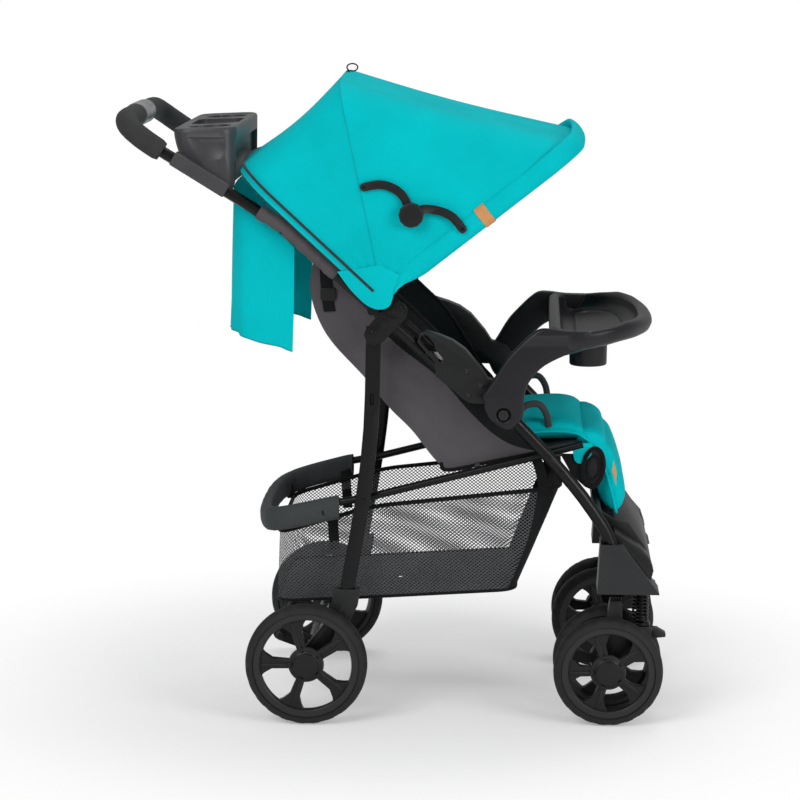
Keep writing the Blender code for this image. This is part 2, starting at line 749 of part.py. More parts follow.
def make_parent_tray():
    """Tray with two cup wells, clamped to both sides of the push tube."""
    reach = 0.186
    shell = plate([(-0.203, 0.915), (-0.106, 0.919), (-0.1065, 0.880), (-0.110, 0.840),
                   (-0.128, 0.834), (-0.160, 0.853), (-0.199, 0.877)], -reach, reach)
    wells = [post(-0.152, side * 0.118, 0.866, 0.95, 0.033, 20) for side in (-1, 1)]
    recess = block((-0.190, -0.062, 0.893), (-0.116, 0.062, 0.95))
    tray = cut(shell, *wells, recess)
    sleeve_outline = [(-0.2045, 0.8640), (-0.1935, 0.8830), (-0.1125, 0.8330), (-0.1235, 0.8140)]
    for side in (-1, 1):
        near, far = sorted((side * 0.184, side * 0.2135))
        clamp = plate(rounded_loop(sleeve_outline, 0.003, 2), near, far)
        tray = joined(tray, clamp)
    for side in (-1, 1):
        bore = [at(TUBE_BEND, side * FRAME_Y), at(GRIP_END, side * FRAME_Y)]
        tray = cut(tray, tube(bore, PUSH_TUBE_R + 0.0006))
    keep(tray, "parent_tray", "tray_plastic", "handle_frame")


def make_bracket_plates():
    """Plates that hold the rear legs' top pivots on the push tube."""
    low_y, high_y = -0.2130, -0.2100
    outline = [(0.1300, 0.6560), (0.1419, 0.6590), (0.1520, 0.6540), (0.1560, 0.6440),
               (0.1534, 0.6321), (0.1419, 0.6200), (0.1176, 0.5955), (0.1050, 0.5900),
               (0.0930, 0.5955), (0.0895, 0.6074), (0.0924, 0.6150), (0.1128, 0.6397)]
    boss = disc(LEG_PIVOT, 0.008, high_y - 0.0015, -0.2056)
    heads = rivets([LEG_PIVOT, (0.1244, 0.6304), (0.1425, 0.6475)], low_y - 0.0012,
                   high_y - 0.0010)
    bracket = joined(plate(outline, low_y, high_y), boss, *heads)
    keep_pair(bracket, "bracket_plate", "black_paint", "handle_frame")


def bow_section(reach, stand_off=0.0, start=BOW_START):
    """Half-hoop of a bow as (y, distance from the pivot), from right to left."""
    half = BOW_Y + stand_off
    top = reach + stand_off
    corner = BOW_CORNER
    flank = top - BOW_CROWN - corner
    right = [(-half, start), (-half, start + (flank - start) / 2)]
    for k in range(5):
        turn = math.pi / 2 * k / 4
        right.append((-half + corner * (1 - math.cos(turn)), flank + corner * math.sin(turn)))
    right.append((-(half - corner) / 2, top - BOW_CROWN * 0.25))
    left = [(-y, r) for y, r in reversed(right)]
    return right + [(0.0, top)] + left


def bow_points(angle, section, ahead=0.0):
    """Bow at its angle about the canopy pivot, moved square to itself by a distance."""
    cos, sin = math.cos(angle), math.sin(angle)
    return [(CANOPY_PIVOT[0] + r * cos + ahead * sin, y, CANOPY_PIVOT[1] + r * sin - ahead * cos)
            for y, r in section]


def make_canopy_bows():
    """Three canopy bows. The rear one is fixed by its hubs and clips to the push tube."""
    rear_angle, rear_reach = REAR_BOW
    rear = tube(bow_points(rear_angle, bow_section(rear_reach, start=0.008)), BOW_R)
    clip_foot = (CANOPY_PIVOT[0] - 0.0184, CANOPY_PIVOT[1] - 0.0184)
    clip_head = lerp(CANOPY_PIVOT, clip_foot, 0.5)
    for side in (-1, 1):
        hub = disc(CANOPY_PIVOT, 0.012, *sorted((side * 0.2134, side * 0.2187)))
        clip = plate(capsule(clip_head, clip_foot, 0.007, 4),
                     *sorted((side * 0.2100, side * 0.2150)))
        rear = joined(rear, hub, clip)
    keep(rear, "canopy_rear_bow", "black_paint", "handle_frame")
    for name, (angle, reach), body in (("canopy_middle_bow", MID_BOW, "canopy_middle"),
                                       ("canopy_front_bow", FRONT_BOW, "canopy_front")):
        bow = tube(bow_points(angle, bow_section(reach)), BOW_R)
        keep(bow, name, "black_paint", body)


def make_canopy_cloth():
    """Canopy cloth: straight between its bows, with its front hem turned under."""
    def hoop(bow, ahead=0.0, stand_off=CLOTH_STAND_OFF):
        return bow_points(bow[0], bow_section(bow[1], stand_off, 0.0150), ahead)

    rows = [hoop(REAR_BOW, -0.006)]
    for one, two, steps in ((REAR_BOW, MID_BOW, 2), (MID_BOW, FRONT_BOW, 3)):
        for k in range(steps):
            rows.append([lerp(a, b, k / steps) for a, b in zip(hoop(one), hoop(two))])
    for ahead, stand_off in ((0.0, 0.0048), (0.0062, 0.0040), (0.0080, 0.0), (0.0066, -0.0052)):
        rows.append(hoop(FRONT_BOW, ahead, stand_off))
    cloth = thicken(loft(rows), CLOTH_THICKNESS, even=False)
    keep(cloth, "canopy_cloth", "teal_cloth", "handle_frame")


def make_tensioners():
    """Folding arms that hold the canopy open, one pair each side."""
    rear_in, rear_out = -0.2255, -0.2225
    front_in, front_out = -0.2295, -0.2265
    width = 0.0066
    knob_radius = 0.0190
    rear_curve = [ARM_REAR_END, (0.1140, 0.8360), (0.1340, 0.8310), (0.1500, 0.8180), ARM_ELBOW]
    front_curve = [ARM_ELBOW, (0.1800, 0.8000), (0.2050, 0.7970), (0.2240, 0.7880),
                   ARM_FRONT_END]
    rear_link = plate(arm_outline(rear_curve, width), rear_out, rear_in)
    keep_pair(rear_link, "arm_rear", "black_plastic", "arms_rear")
    front_link = plate(arm_outline(front_curve, width), front_in, front_out)
    knob = disc(ARM_ELBOW, knob_radius, -0.2350, front_out)
    boss = disc(ARM_FRONT_END, 0.0042, front_in, -0.2225)
    keep_pair(joined(front_link, knob, boss), "arm_front", "black_plastic", "arms_front")


def arm_outline(points, width):
    """Outline of a curved bar of even width with round ends."""
    path = smooth_path(points, 4)
    left, right = [], []
    for i, (x, z) in enumerate(path):
        ahead = path[min(i + 1, len(path) - 1)]
        behind = path[max(i - 1, 0)]
        heading = math.atan2(ahead[1] - behind[1], ahead[0] - behind[0])
        left.append((x - width * math.sin(heading), z + width * math.cos(heading)))
        right.append((x + width * math.sin(heading), z - width * math.cos(heading)))
    caps = []
    for centre, nearby in ((path[0], path[1]), (path[-1], path[-2])):
        heading = math.atan2(centre[1] - nearby[1], centre[0] - nearby[0])
        caps.append([(centre[0] + width * math.cos(heading + turn),
                      centre[1] + width * math.sin(heading + turn))
                     for turn in (math.radians(a) for a in (45, 0, -45))])
    return left + caps[1] + right[::-1] + caps[0]


def make_rear_curtain():
    """Cloth flap behind the seat: a back with two wings, in hanging folds."""
    top_back, bottom_back = 0.828, 0.606
    half = 0.180
    corner = 0.035
    plan = [(-0.018, -half), (-0.075, -half)]
    for k in range(5):
        turn = math.pi / 2 * k / 4
        plan.append((-0.078 - corner * math.sin(turn), -half + corner * (1 - math.cos(turn))))
    plan += [(-0.1155, -0.10), (-0.117, -0.05), (-0.1175, 0.0)]
    plan += [(x, -y) for x, y in plan[-2::-1]]
    rows = []
    steps = 4
    fold_depth = 0.004
    for k in range(steps + 1):
        t = k / steps
        row = []
        for i, (x, y) in enumerate(plan):
            forward = (x + 0.118) / 0.10
            top = top_back - 0.092 * max(forward, 0.0)
            bottom = bottom_back - 0.030 * max(forward, 0.0)
            fold = fold_depth * t * math.sin(2.1 * min(i, len(plan) - 1 - i))
            row.append((x + fold - 0.004 * t, y * (1 - abs(fold)), top + (bottom - top) * t))
        rows.append(row)
    curtain = thicken(loft(rows), 0.002, even=False)
    keep(curtain, "rear_curtain", "teal_cloth", "handle_frame")


def rear_leg_path(extra=0.0):
    """Rear leg from above its top pivot, down to its foot in the housing."""
    foot = toward((0.0576, 0.186), LINK_PIVOT, -extra)
    points = [(0.1036, 0.6174), (0.1000, 0.460), LINK_PIVOT, foot]
    return [at(point, -REAR_LEG_Y) for point in rounded(points, 0.05, 2)]


def make_rear_legs():
    """Rear legs: flat-oval tubes with the slotted channel, the link boss and rivets."""
    leg = tube(rear_leg_path(), REAR_LEG_R, 3, flatten=REAR_LEG_FLATTEN, level=-REAR_LEG_Y)
    slot = capsule((0.1010, 0.500), (0.1014, 0.514), 0.003, 4)
    channel = plate(capsule((0.1034, 0.599), (0.1008, 0.494), 0.009), -0.2050, -0.1990, [slot])
    boss = disc(LINK_PIVOT, 0.008, -0.1920, -0.1785)
    head = disc(LINK_PIVOT, 0.005, -0.2032, -0.1985, 10)
    keep_pair(joined(leg, channel, boss, head), "rear_leg", "black_paint", "rear_frame")


def make_rear_housings():
    """Housings that join each rear leg to the axle."""
    hub_r = 0.016
    arc = [(hub_r * math.cos(math.radians(a)), REAR_AXLE[1] + hub_r * math.sin(math.radians(a)))
           for a in range(-30, -211, -30)]
    outline = [(0.036, 0.165), (0.041, 0.208), (0.082, 0.208), (0.078, 0.182), (0.045, 0.118),
               *arc]
    housing = plate(outline, -0.2035, -0.1825)
    socket = tube(rear_leg_path(GAP), REAR_LEG_R + 0.0009, 3, flatten=REAR_LEG_FLATTEN,
                  level=-REAR_LEG_Y)
    bore = disc(REAR_AXLE, AXLE_R + 0.0006, -0.21, -0.18)
    keep_pair(cut(housing, socket, bore), "rear_housing", "black_plastic", "rear_frame")


def make_rear_axle():
    """Stepped axle across both rear housings and wheels."""
    thick_end, end = 0.1815, 0.2393
    axle = joined(disc(REAR_AXLE, AXLE_R, -end, end), disc(REAR_AXLE, 0.008, -thick_end, thick_end))
    keep(axle, "rear_axle", "bright_steel", "rear_frame")


def make_brake_pedal():
    """Foot bar on two arms that hang on the rear axle."""
    bar_at = (-0.050, 0.113)
    pedal = tube([at(bar_at, -0.125), at(bar_at, 0.125)], 0.006)
    for y in (-0.10, 0.10):
        ring = capsule(REAR_AXLE, bar_at, 0.0125, 6)
        arm = plate(ring, y - 0.004, y + 0.004)
        pedal = joined(pedal, arm)
    pedal = cut(pedal, disc(REAR_AXLE, 0.0088, -0.15, 0.15))
    keep(pedal, "brake_pedal", "black_plastic", "brake_pedal")


def hoop_path():
    """Right half of the seat tube and the hoop behind the basket."""
    return [(0.4235, -SEAT_TUBE_Y, 0.434), at(SEAT_PIVOT, -SEAT_TUBE_Y),
            at(LINK_PIVOT, -SEAT_TUBE_Y), (0.030, -0.171, 0.336), (-0.030, -0.160, 0.321),
            (-0.062, -0.130, 0.312), (-0.073, -0.070, 0.309), (-0.075, 0.0, 0.308)]


def make_seat_hoop():
    """Seat tubes and rear hoop in one bent tube, and the padded cover on the hoop."""
    right = hoop_path()
    left = [(x, -y, z) for x, y, z in right]
    straight = right[:2]
    bend = smooth_path(right[2:] + left[-2:1:-1], 2)
    hoop = tube(straight + bend + left[1::-1], SEAT_TUBE_R)
    for side in (-1, 1):
        near, far = sorted((side * 0.1740, side * 0.1896))
        hoop = joined(hoop, disc(SEAT_PIVOT, 0.007, near, far))
    keep(hoop, "seat_hoop", "black_paint", "seat_frame")

    cover_start = (0.048, -0.1713, 0.3395)
    half = [cover_start, *right[3:]]
    bend = smooth_path(half + [(x, -y, z) for x, y, z in half[-2::-1]], 2)
    keep(cover_band(bend), "bumper_cover", "black_cloth", "seat_frame")


def cover_band(path):
    """Padded band round the hoop: an oval sleeve that hangs below the tube."""
    tall, thick, drop = 0.0175, 0.0095, 0.008
    rows = []
    for i, (x, y, z) in enumerate(path):
        ahead = path[min(i + 1, len(path) - 1)]
        behind = path[max(i - 1, 0)]
        flow = Vector((ahead[0] - behind[0], ahead[1] - behind[1], 0)).normalized()
        out = Vector((flow.y, -flow.x, 0))
        centre = Vector((x, y, z - drop))
        ring = []
        for k in range(8):
            turn = math.tau * (k + 0.5) / 8
            ring.append(centre + out * thick * math.cos(turn)
                        + Vector((0, 0, 1)) * tall * math.sin(turn))
        rows.append(ring)
    return thicken(loft(rows, closed=True), 0.0022, -1.0)


def make_seat():
    """Seat board on its cross rods, and the seat cushion."""
    reach = 0.150
    board = plate([(0.236, 0.3935), (0.415, 0.424), (0.415, 0.433), (0.236, 0.4025)],
                  -reach, reach)
    for x, z in ((0.262, 0.3965), (0.388, 0.4175)):
        board = joined(board, tube([(x, -0.1655, z), (x, 0.1655, z)], 0.005))
    keep(board, "seat_board", "black_plastic", "seat_frame")
    path = smooth_path([(0.234, 0.446), (0.300, 0.463), (0.360, 0.470), (0.418, 0.462)], 4)
    keep(cushion(path, 0.147, 0.046, (9, 6), 0.02, (0.35, 0.68)), "seat_cushion",
         "teal_cloth", "seat_frame")


def make_basket():
    """Shopping basket: an open-topped tub of mesh cloth under the seat."""
    rings = []
    low_rear, low_front = (-0.052, 0.176), (0.322, 0.198)
    top_rear, top_side, top_front = (-0.048, 0.286), (0.100, 0.330), (0.390, 0.362)
    steps = 3
    for k in range(steps + 1):
        t = k / steps
        bulge = 0.006 * math.sin(math.pi * t)
        rear = lerp(low_rear, top_rear, t)
        front = lerp(low_front, top_front, t)
        middle = lerp((0.100, 0.184), top_side, t)
        half = 0.148 + 0.006 * t + bulge
        corner = 0.025
        right = [(rear[0] + corner, -half, rear[1]), (middle[0], -half, middle[1]),
                 (front[0] - corner, -half, front[1]), (front[0], -half + corner, front[1])]
        left = [(x, -y, z) for x, y, z in right[::-1]]
        back = [(rear[0], half - corner, rear[1]), (rear[0], -half + corner, rear[1])]
        rings.append(right + left + back)
    tub = loft(rings, closed=True)
    work = bmesh.new()
    work.from_mesh(tub.data)
    work.verts.ensure_lookup_table()
    floor = [work.verts[i] for i in range(len(rings[0]))]
    work.faces.new(floor)
    bmesh.ops.recalc_face_normals(work, faces=work.faces)
    work.to_mesh(tub.data)
    work.free()
    keep(thicken(tub, 0.002), "basket", "mesh_cloth", "seat_frame")


def make_backrest():
    """Backrest board, pad, side panels and shoulder harness."""
    half = 0.145
    ends = [on_back(0.012, -0.004), on_back(BACK_LENGTH, -0.004),
            on_back(BACK_LENGTH, 0.004), on_back(0.012, 0.004)]
    keep(plate(ends, -half, half), "backrest_board", "grey_cloth", "backrest")
    pad_offset = 0.0205
    path = [on_back(d, pad_offset) for d in (0.400, 0.31, 0.22, 0.14, 0.062)]
    pad = cushion(path, 0.140, 0.031, (9, 6), 0.03, (0.33, 0.66))
    keep(pad, "backrest_pad", "teal_cloth", "backrest")

    panel = plate(rounded_loop([(0.212, 0.392), (0.160, 0.450), (0.125, 0.486), (0.087, 0.533),
                                (0.030, 0.597), (0.004, 0.660), (0.010, 0.715), (0.035, 0.742),
                                (0.130, 0.668), (0.205, 0.596), (0.262, 0.508),
                                (0.288, 0.452), (0.262, 0.414)], 0.008, 2), -0.1585, -0.1525)
    keep_pair(panel, "seat_side", "grey_cloth", "backrest")

    outline = [(-0.072, 0.372), (-0.044, 0.372), (-0.006, 0.128), (0.006, 0.128),
               (0.044, 0.372), (0.072, 0.372), (0.020, 0.085), (-0.020, 0.085)]
    harness = plate(outline, -0.0015, 0.0015)
    frame = Matrix(((0, on_forward(0), on_upward(0), RECLINE_PIVOT[0]),
                    (1, 0, 0, 0),
                    (0, on_forward(1), on_upward(1), RECLINE_PIVOT[1]),
                    (0, 0, 0, 1)))
    harness.data.transform(Matrix.Translation((0, 0.0405, 0)))
    harness.data.transform(frame)
    harness = bake(harness)
    keep(harness, "harness", "black_cloth", "backrest")


def on_forward(axis):
    """Backrest's forward direction in the side plane."""
    return (math.sin(BACK_ANGLE), -math.cos(BACK_ANGLE))[axis]


def on_upward(axis):
    """Backrest's upward direction in the side plane."""
    return (math.cos(BACK_ANGLE), math.sin(BACK_ANGLE))[axis]


def make_leg_rest():
    """Leg rest: a rounded pad that hangs from the front of the seat."""
    path = smooth_path([(0.4400, 0.448), (0.4530, 0.418), (0.4625, 0.383), (0.4715, 0.346),
                        (0.4790, 0.319)], 4)
    keep(cushion(path, 0.146, 0.046, (8, 6), 0.02), "leg_rest_pad", "teal_cloth", "leg_rest")


def make_child_tray():
    """Play tray with its cup well, on two arms beside the hinge housings."""
    inner, outer = -0.2165, -0.2325
    arm = plate([
        (0.2704, 0.5154), (0.2725, 0.5085), (0.2740, 0.4962), (0.2817, 0.4809),
        (0.2968, 0.4688), (0.3105, 0.4650), (0.3225, 0.4736), (0.3315, 0.4875),
        (0.3328, 0.5074), (0.3357, 0.5274), (0.3446, 0.5442), (0.3640, 0.5640),
        (0.4000, 0.5820), (0.4000, 0.6160), (0.3725, 0.6200), (0.3560, 0.6195),
        (0.3426, 0.6113), (0.3262, 0.5959), (0.3053, 0.5729), (0.2866, 0.5423)],
        outer, inner)
    arm = cut(arm, disc(TRAY_BUTTON, 0.0086, outer - 0.01, -0.2245))
    twin = mirrored(arm)
    side_view = [(0.372, 0.569), (0.400, 0.582), (0.4266, 0.5895), (0.4549, 0.5935),
                 (0.4819, 0.5975), (0.5239, 0.5974), (0.5330, 0.603), (0.524, 0.615),
                 (0.506, 0.6235), (0.487, 0.625), (0.4655, 0.621), (0.434, 0.6165),
                 (0.4033, 0.6165), (0.372, 0.619)]
    plan = [(0.372, -0.2312), (0.440, -0.2312), (0.490, -0.196), (0.520, -0.130), (0.533, -0.050)]
    plan = plan + [(x, -y) for x, y in plan[::-1]]
    shelf = boolean(shelf_plate(rounded_loop(plan, 0.014, 2), 0.55, 0.65),
                    plate(side_view, -0.25, 0.25), "INTERSECT")
    floor_view = [(0.365, 0.5765), (0.400, 0.5885), (0.4266, 0.5940), (0.4549, 0.5980),
                  (0.4819, 0.6015), (0.5180, 0.6020), (0.5180, 0.70), (0.365, 0.70)]
    inset = [(0.383, -0.2130), (0.434, -0.2130), (0.479, -0.181), (0.508, -0.122),
             (0.520, -0.048)]
    inset = inset + [(x, -y) for x, y in inset[::-1]]
    recess = boolean(shelf_plate(rounded_loop(inset, 0.014, 2), 0.56, 0.69),
                     plate(floor_view, -0.25, 0.25), "INTERSECT")
    cup = post(*TRAY_CUP, 0.547, 0.597, 0.0290, 20)
    well = post(*TRAY_CUP, 0.550, 0.65, 0.0262, 20)
    tray = cut(joined(shelf, cup, arm, twin), recess, well)
    keep(tray, "child_tray", "tray_plastic", "child_tray")

    button = disc(TRAY_BUTTON, 0.0080, -0.2345, -0.2285)
    keep_pair(button, "tray_button", "black_plastic", "tray_button_right", "tray_button_left")


def shelf_plate(outline, low, high):
    """Flat piece on plan, from low to high."""
    item = plate(outline, -high, -low)
    item.data.transform(Matrix.Rotation(math.pi / 2, 4, "X").inverted())
    return bake(item)


def build():
    """Make the whole pram."""
    make_bodies()
    make_front_legs()
    make_hinge_housings()
    make_front_housings()
    make_foot_plate()
    make_rear_wheels()
    make_front_wheels()
    make_castors()
    make_springs()
    make_push_tube()
    make_parent_tray()
    make_bracket_plates()
    make_canopy_bows()
    make_canopy_cloth()
    make_tensioners()
    make_rear_curtain()
    make_rear_legs()
    make_rear_housings()
    make_rear_axle()
    make_brake_pedal()
    make_seat_hoop()
    make_seat()
    make_basket()
    make_backrest()
    make_leg_rest()
    make_child_tray()
    bodies["front_frame"].location.x = CENTRE_SHIFT_X
    bpy.context.view_layer.update()


build()
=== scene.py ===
"""Folding pushchair: cloth, pads, wheels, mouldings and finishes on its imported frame."""

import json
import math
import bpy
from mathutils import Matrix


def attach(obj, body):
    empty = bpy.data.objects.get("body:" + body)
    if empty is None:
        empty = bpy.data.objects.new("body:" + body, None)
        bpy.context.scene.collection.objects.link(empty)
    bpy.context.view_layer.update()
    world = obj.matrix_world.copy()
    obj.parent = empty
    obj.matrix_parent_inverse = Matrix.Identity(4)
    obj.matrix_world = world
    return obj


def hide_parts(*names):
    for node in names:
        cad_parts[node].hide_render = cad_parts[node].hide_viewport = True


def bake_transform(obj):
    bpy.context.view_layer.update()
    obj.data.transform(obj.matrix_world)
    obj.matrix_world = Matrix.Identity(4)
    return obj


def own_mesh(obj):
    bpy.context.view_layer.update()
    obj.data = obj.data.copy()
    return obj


bl_info = {
    "name": "Folding Pushchair",
    "version": (1, 0, 0),
    "blender": (4, 5, 0),
    "location": "3D View > Sidebar > Pushchair",
    "description": "Builds a folding pushchair with its canopy, seat, basket and wheels",
    "category": "Object",
}

import bmesh
import bpy
from mathutils import Matrix, Vector

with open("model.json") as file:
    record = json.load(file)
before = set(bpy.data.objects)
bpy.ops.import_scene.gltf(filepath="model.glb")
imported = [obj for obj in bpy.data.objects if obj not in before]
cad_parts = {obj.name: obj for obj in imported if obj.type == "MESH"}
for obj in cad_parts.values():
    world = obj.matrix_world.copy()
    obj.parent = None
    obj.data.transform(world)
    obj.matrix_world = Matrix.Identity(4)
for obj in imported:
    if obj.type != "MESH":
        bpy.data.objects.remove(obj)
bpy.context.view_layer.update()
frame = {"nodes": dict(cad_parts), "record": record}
NODES = frame["nodes"]
BEHAVIOUR = frame["record"]["behaviour"]
BODY_OF = {node: body for body, nodes in BEHAVIOUR["bodies"].items() for node in nodes}
SLOT_OF = {part["node"]: part["material_slot"] for part in frame["record"]["subparts"]}
SIDES = (("right", -1), ("left", 1))

# Places in the side view, measured forward of the rear axle and up from the floor
AXLE_SHIFT = -0.1301
REAR_AXLE = (0.0, 0.095)
FRONT_AXLE = (0.4655, 0.0851)
RECLINE_PIVOT = (0.215, 0.400)
CANOPY_PIVOT = (0.120, 0.662)
KINGPIN_X = 0.515
GRIP_END = (-0.217, 0.883)
HANDLE_BAR = (-0.2757, 0.928)
TRAY_CUP = (0.4315, -0.100)

# Places across the pushchair
FRAME_Y = 0.200
REAR_WHEEL_Y = 0.222
CASTOR_Y = 0.1705
TWIN_SPREAD = 0.0785
BOW_Y = 0.2155

# Canopy bows: the angle above forward and the reach from the pivot, and the points of each
REAR_BOW = (math.radians(137.1), 0.2936)
MID_BOW = (math.radians(102.0), 0.333)
FRONT_BOW = (math.radians(38.0), 0.3765)
BOW_STEPS = 61

BACK_ANGLE = math.radians(123)


def linear(code):
    """Turn an sRGB hex colour into linear red, green, blue and alpha."""
    shares = [int(code[i:i + 2], 16) / 255 for i in (1, 3, 5)]
    light = [s / 12.92 if s <= 0.04045 else ((s + 0.055) / 1.055) ** 2.4 for s in shares]
    return (*light, 1.0)


def colour_setting(label, code, description):
    """Colour that a user can change, given as sRGB hex."""
    return bpy.props.FloatVectorProperty(name=label, description=description, size=4, min=0,
                                         max=1, subtype="COLOR", default=linear(code))


def length_setting(label, metres, description):
    """Length that a user can change, in metres."""
    return bpy.props.FloatProperty(name=label, description=description, default=metres, min=0,
                                   precision=5, subtype="DISTANCE", unit="LENGTH")


class PushchairColours(bpy.types.PropertyGroup):
    """Colours of the pushchair's finishes."""

    canopy_cloth: colour_setting("Canopy and seat cloth", "#00B3BA", "Main cloth")
    shell_cloth: colour_setting("Seat shell cloth", "#504D50", "Side panels and back")
    dark_cloth: colour_setting("Dark cloth", "#1C1D1E", "Seat lining and hems")
    bumper_cloth: colour_setting("Rear band cloth", "#3B3E3F", "Rear band and basket floor")
    webbing: colour_setting("Webbing", "#151617", "Harness and straps")
    net: colour_setting("Net", "#4C4D4F", "Basket walls")
    piping: colour_setting("Piping", "#2A3A3D", "Piping on the canopy's edge")
    tag: colour_setting("Tag", "#C08A5A", "Bare sewn tags")
    paint: colour_setting("Tube paint", "#090A0B", "Frame tubes")
    moulding: colour_setting("Black mouldings", "#111213", "Housings and forks")
    tray: colour_setting("Child tray", "#17171A", "Child tray moulding")
    parent_tray: colour_setting("Parent tray", "#3C3C3E", "Parent tray moulding")
    collar: colour_setting("Release collar", "#6E7072", "Ring on the handle")
    foam: colour_setting("Grip foam", "#2E2E2F", "Handle grip")
    tyre: colour_setting("Tyres", "#1A1A1B", "Tyre rubber")
    plated: colour_setting("Plated steel", "#9A9C9E", "Axle, kingpins and rods")
    sleeve: colour_setting("Tube sleeve", "#4E4B4D", "Cloth sleeve on the push tubes")
    floor: colour_setting("Floor", "#FAFAFA", "Studio floor")


class PushchairSizes(bpy.types.PropertyGroup):
    """Sizes that change how the pushchair's soft parts look."""

    thread: length_setting("Thread spacing", 0.0022, "Distance between drawn threads")
    net_width: length_setting("Net cell width", 0.0066, "Width of the net's holes")
    net_height: length_setting("Net cell height", 0.0053, "Height of the net's holes")
    cloth: length_setting("Cloth thickness", 0.0014, "Thickness of canopy and curtain")
    piping: length_setting("Piping radius", 0.0017, "Radius of sewn piping")
    sag: length_setting("Canopy sag", 0.006, "How far cloth sags between bows")
    swell: length_setting("Pad swell", 0.003, "The most that a pad swells when filled")
    mould_edge: length_setting("Moulded edge", 0.0008, "Rounding of moulded edges")


# Mesh helpers

def from_axle(x, y, z):
    """Point measured from the rear axle, in the frame."""
    return Vector((x + AXLE_SHIFT, y, z))


def only(item):
    """Make one object the only selected one and the active one."""
    bpy.ops.object.select_all(action="DESELECT")
    item.hide_set(False)
    item.select_set(True)
    bpy.context.view_layer.objects.active = item


def settle(item, name):
    """Name an object and write its place into its mesh."""
    only(item)
    item.name = name
    item.data.name = name
    bpy.ops.object.transform_apply(location=True, rotation=True, scale=True)
    return item


def modify(item, kind, **settings):
    """Add a modifier with its settings and apply it."""
    only(item)
    modifier = item.modifiers.new(kind.lower(), kind)
    for name, value in settings.items():
        setattr(modifier, name, value)
    bpy.ops.object.modifier_apply(modifier=modifier.name)
    return item


def soften(item, degrees):
    """Shade an object smooth, but for edges sharper than an angle."""
    only(item)
    bpy.ops.object.shade_smooth_by_angle(angle=math.radians(degrees))
    return item


def outward(item):
    """Point a closed mesh's faces outwards."""
    only(item)
    bpy.ops.object.mode_set(mode="EDIT")
    bpy.ops.mesh.select_all(action="SELECT")
    bpy.ops.mesh.remove_doubles(threshold=0.00001)
    bpy.ops.mesh.normals_make_consistent(inside=False)
    bpy.ops.object.mode_set(mode="OBJECT")
    return item


def joined(name, items):
    """Join objects into the first one."""
    only(items[0])
    for item in items:
        item.select_set(True)
    bpy.ops.object.join()
    return settle(bpy.context.object, name)


def new_mesh(name, points, faces):
    """New mesh object from points and faces."""
    mesh = bpy.data.meshes.new(name)
    mesh.from_pydata(points, [], faces)
    item = bpy.data.objects.new(name, mesh)
    bpy.context.scene.collection.objects.link(item)
    return item


def lerp(a, b, t):
    """Point a share t of the way from a to b."""
    return tuple(p + (q - p) * t for p, q in zip(a, b))


def circle(count):
    """Angles evenly spread round a full turn."""
    return [math.tau * k / count for k in range(count)]


def in_frame(points):
    """Places in the frame of points measured from the rear axle."""
    return [tuple(from_axle(*p)) for p in points]


def neighbours(path, i):
    """Points before and after the i-th point of an open path."""
    return path[max(i - 1, 0)], path[min(i + 1, len(path) - 1)]


def flow_at(path, i):
    """Direction of an open path at its i-th point."""
    behind, ahead = neighbours(path, i)
    return (Vector(ahead) - Vector(behind)).normalized()


def heading_at(line, i):
    """Angle of a side-view line at its i-th point."""
    behind, ahead = neighbours(line, i)
    return math.atan2(ahead[1] - behind[1], ahead[0] - behind[0])


def resample(points, count, closed=False):
    """Spread points evenly along a path."""
    path = list(points) + ([points[0]] if closed else [])
    lengths = [0.0]
    for a, b in zip(path, path[1:]):
        lengths.append(lengths[-1] + math.dist(a, b))
    spans = count if closed else count - 1
    spread = []
    k = 0
    for i in range(count):
        along = lengths[-1] * i / spans
        while k < len(path) - 2 and lengths[k + 1] < along:
            k += 1
        share = (along - lengths[k]) / max(lengths[k + 1] - lengths[k], 1e-9)
        spread.append(lerp(path[k], path[k + 1], min(share, 1.0)))
    return spread


def smooth_path(points, steps=6):
    """Pass a smooth curve through the points of an open path."""
    ends = [points[0], *points, points[-1]]
    path = []
    for p0, p1, p2, p3 in zip(ends, ends[1:], ends[2:], ends[3:]):
        for k in range(steps):
            t = k / steps
            path.append(tuple(
                0.5 * (2 * b + (c - a) * t + (2 * a - 5 * b + 4 * c - d) * t ** 2
                       + (3 * b - a - 3 * c + d) * t ** 3)
                for a, b, c, d in zip(p0, p1, p2, p3)))
    path.append(tuple(points[-1]))
    return path


def rounded_loop(points, radius, steps=6):
    """Round the corners of a closed outline."""
    count = len(points)
    path = []
    for i in range(count):
        before, corner, after = points[i - 1], points[i], points[(i + 1) % count]
        reach_in = min(radius, math.dist(corner, before) / 2.02)
        reach_out = min(radius, math.dist(corner, after) / 2.02)
        entry = lerp(corner, before, reach_in / math.dist(corner, before))
        leave = lerp(corner, after, reach_out / math.dist(corner, after))
        for k in range(steps + 1):
            t = k / steps
            path.append(lerp(lerp(entry, corner, t), lerp(corner, leave, t), t))
    return path


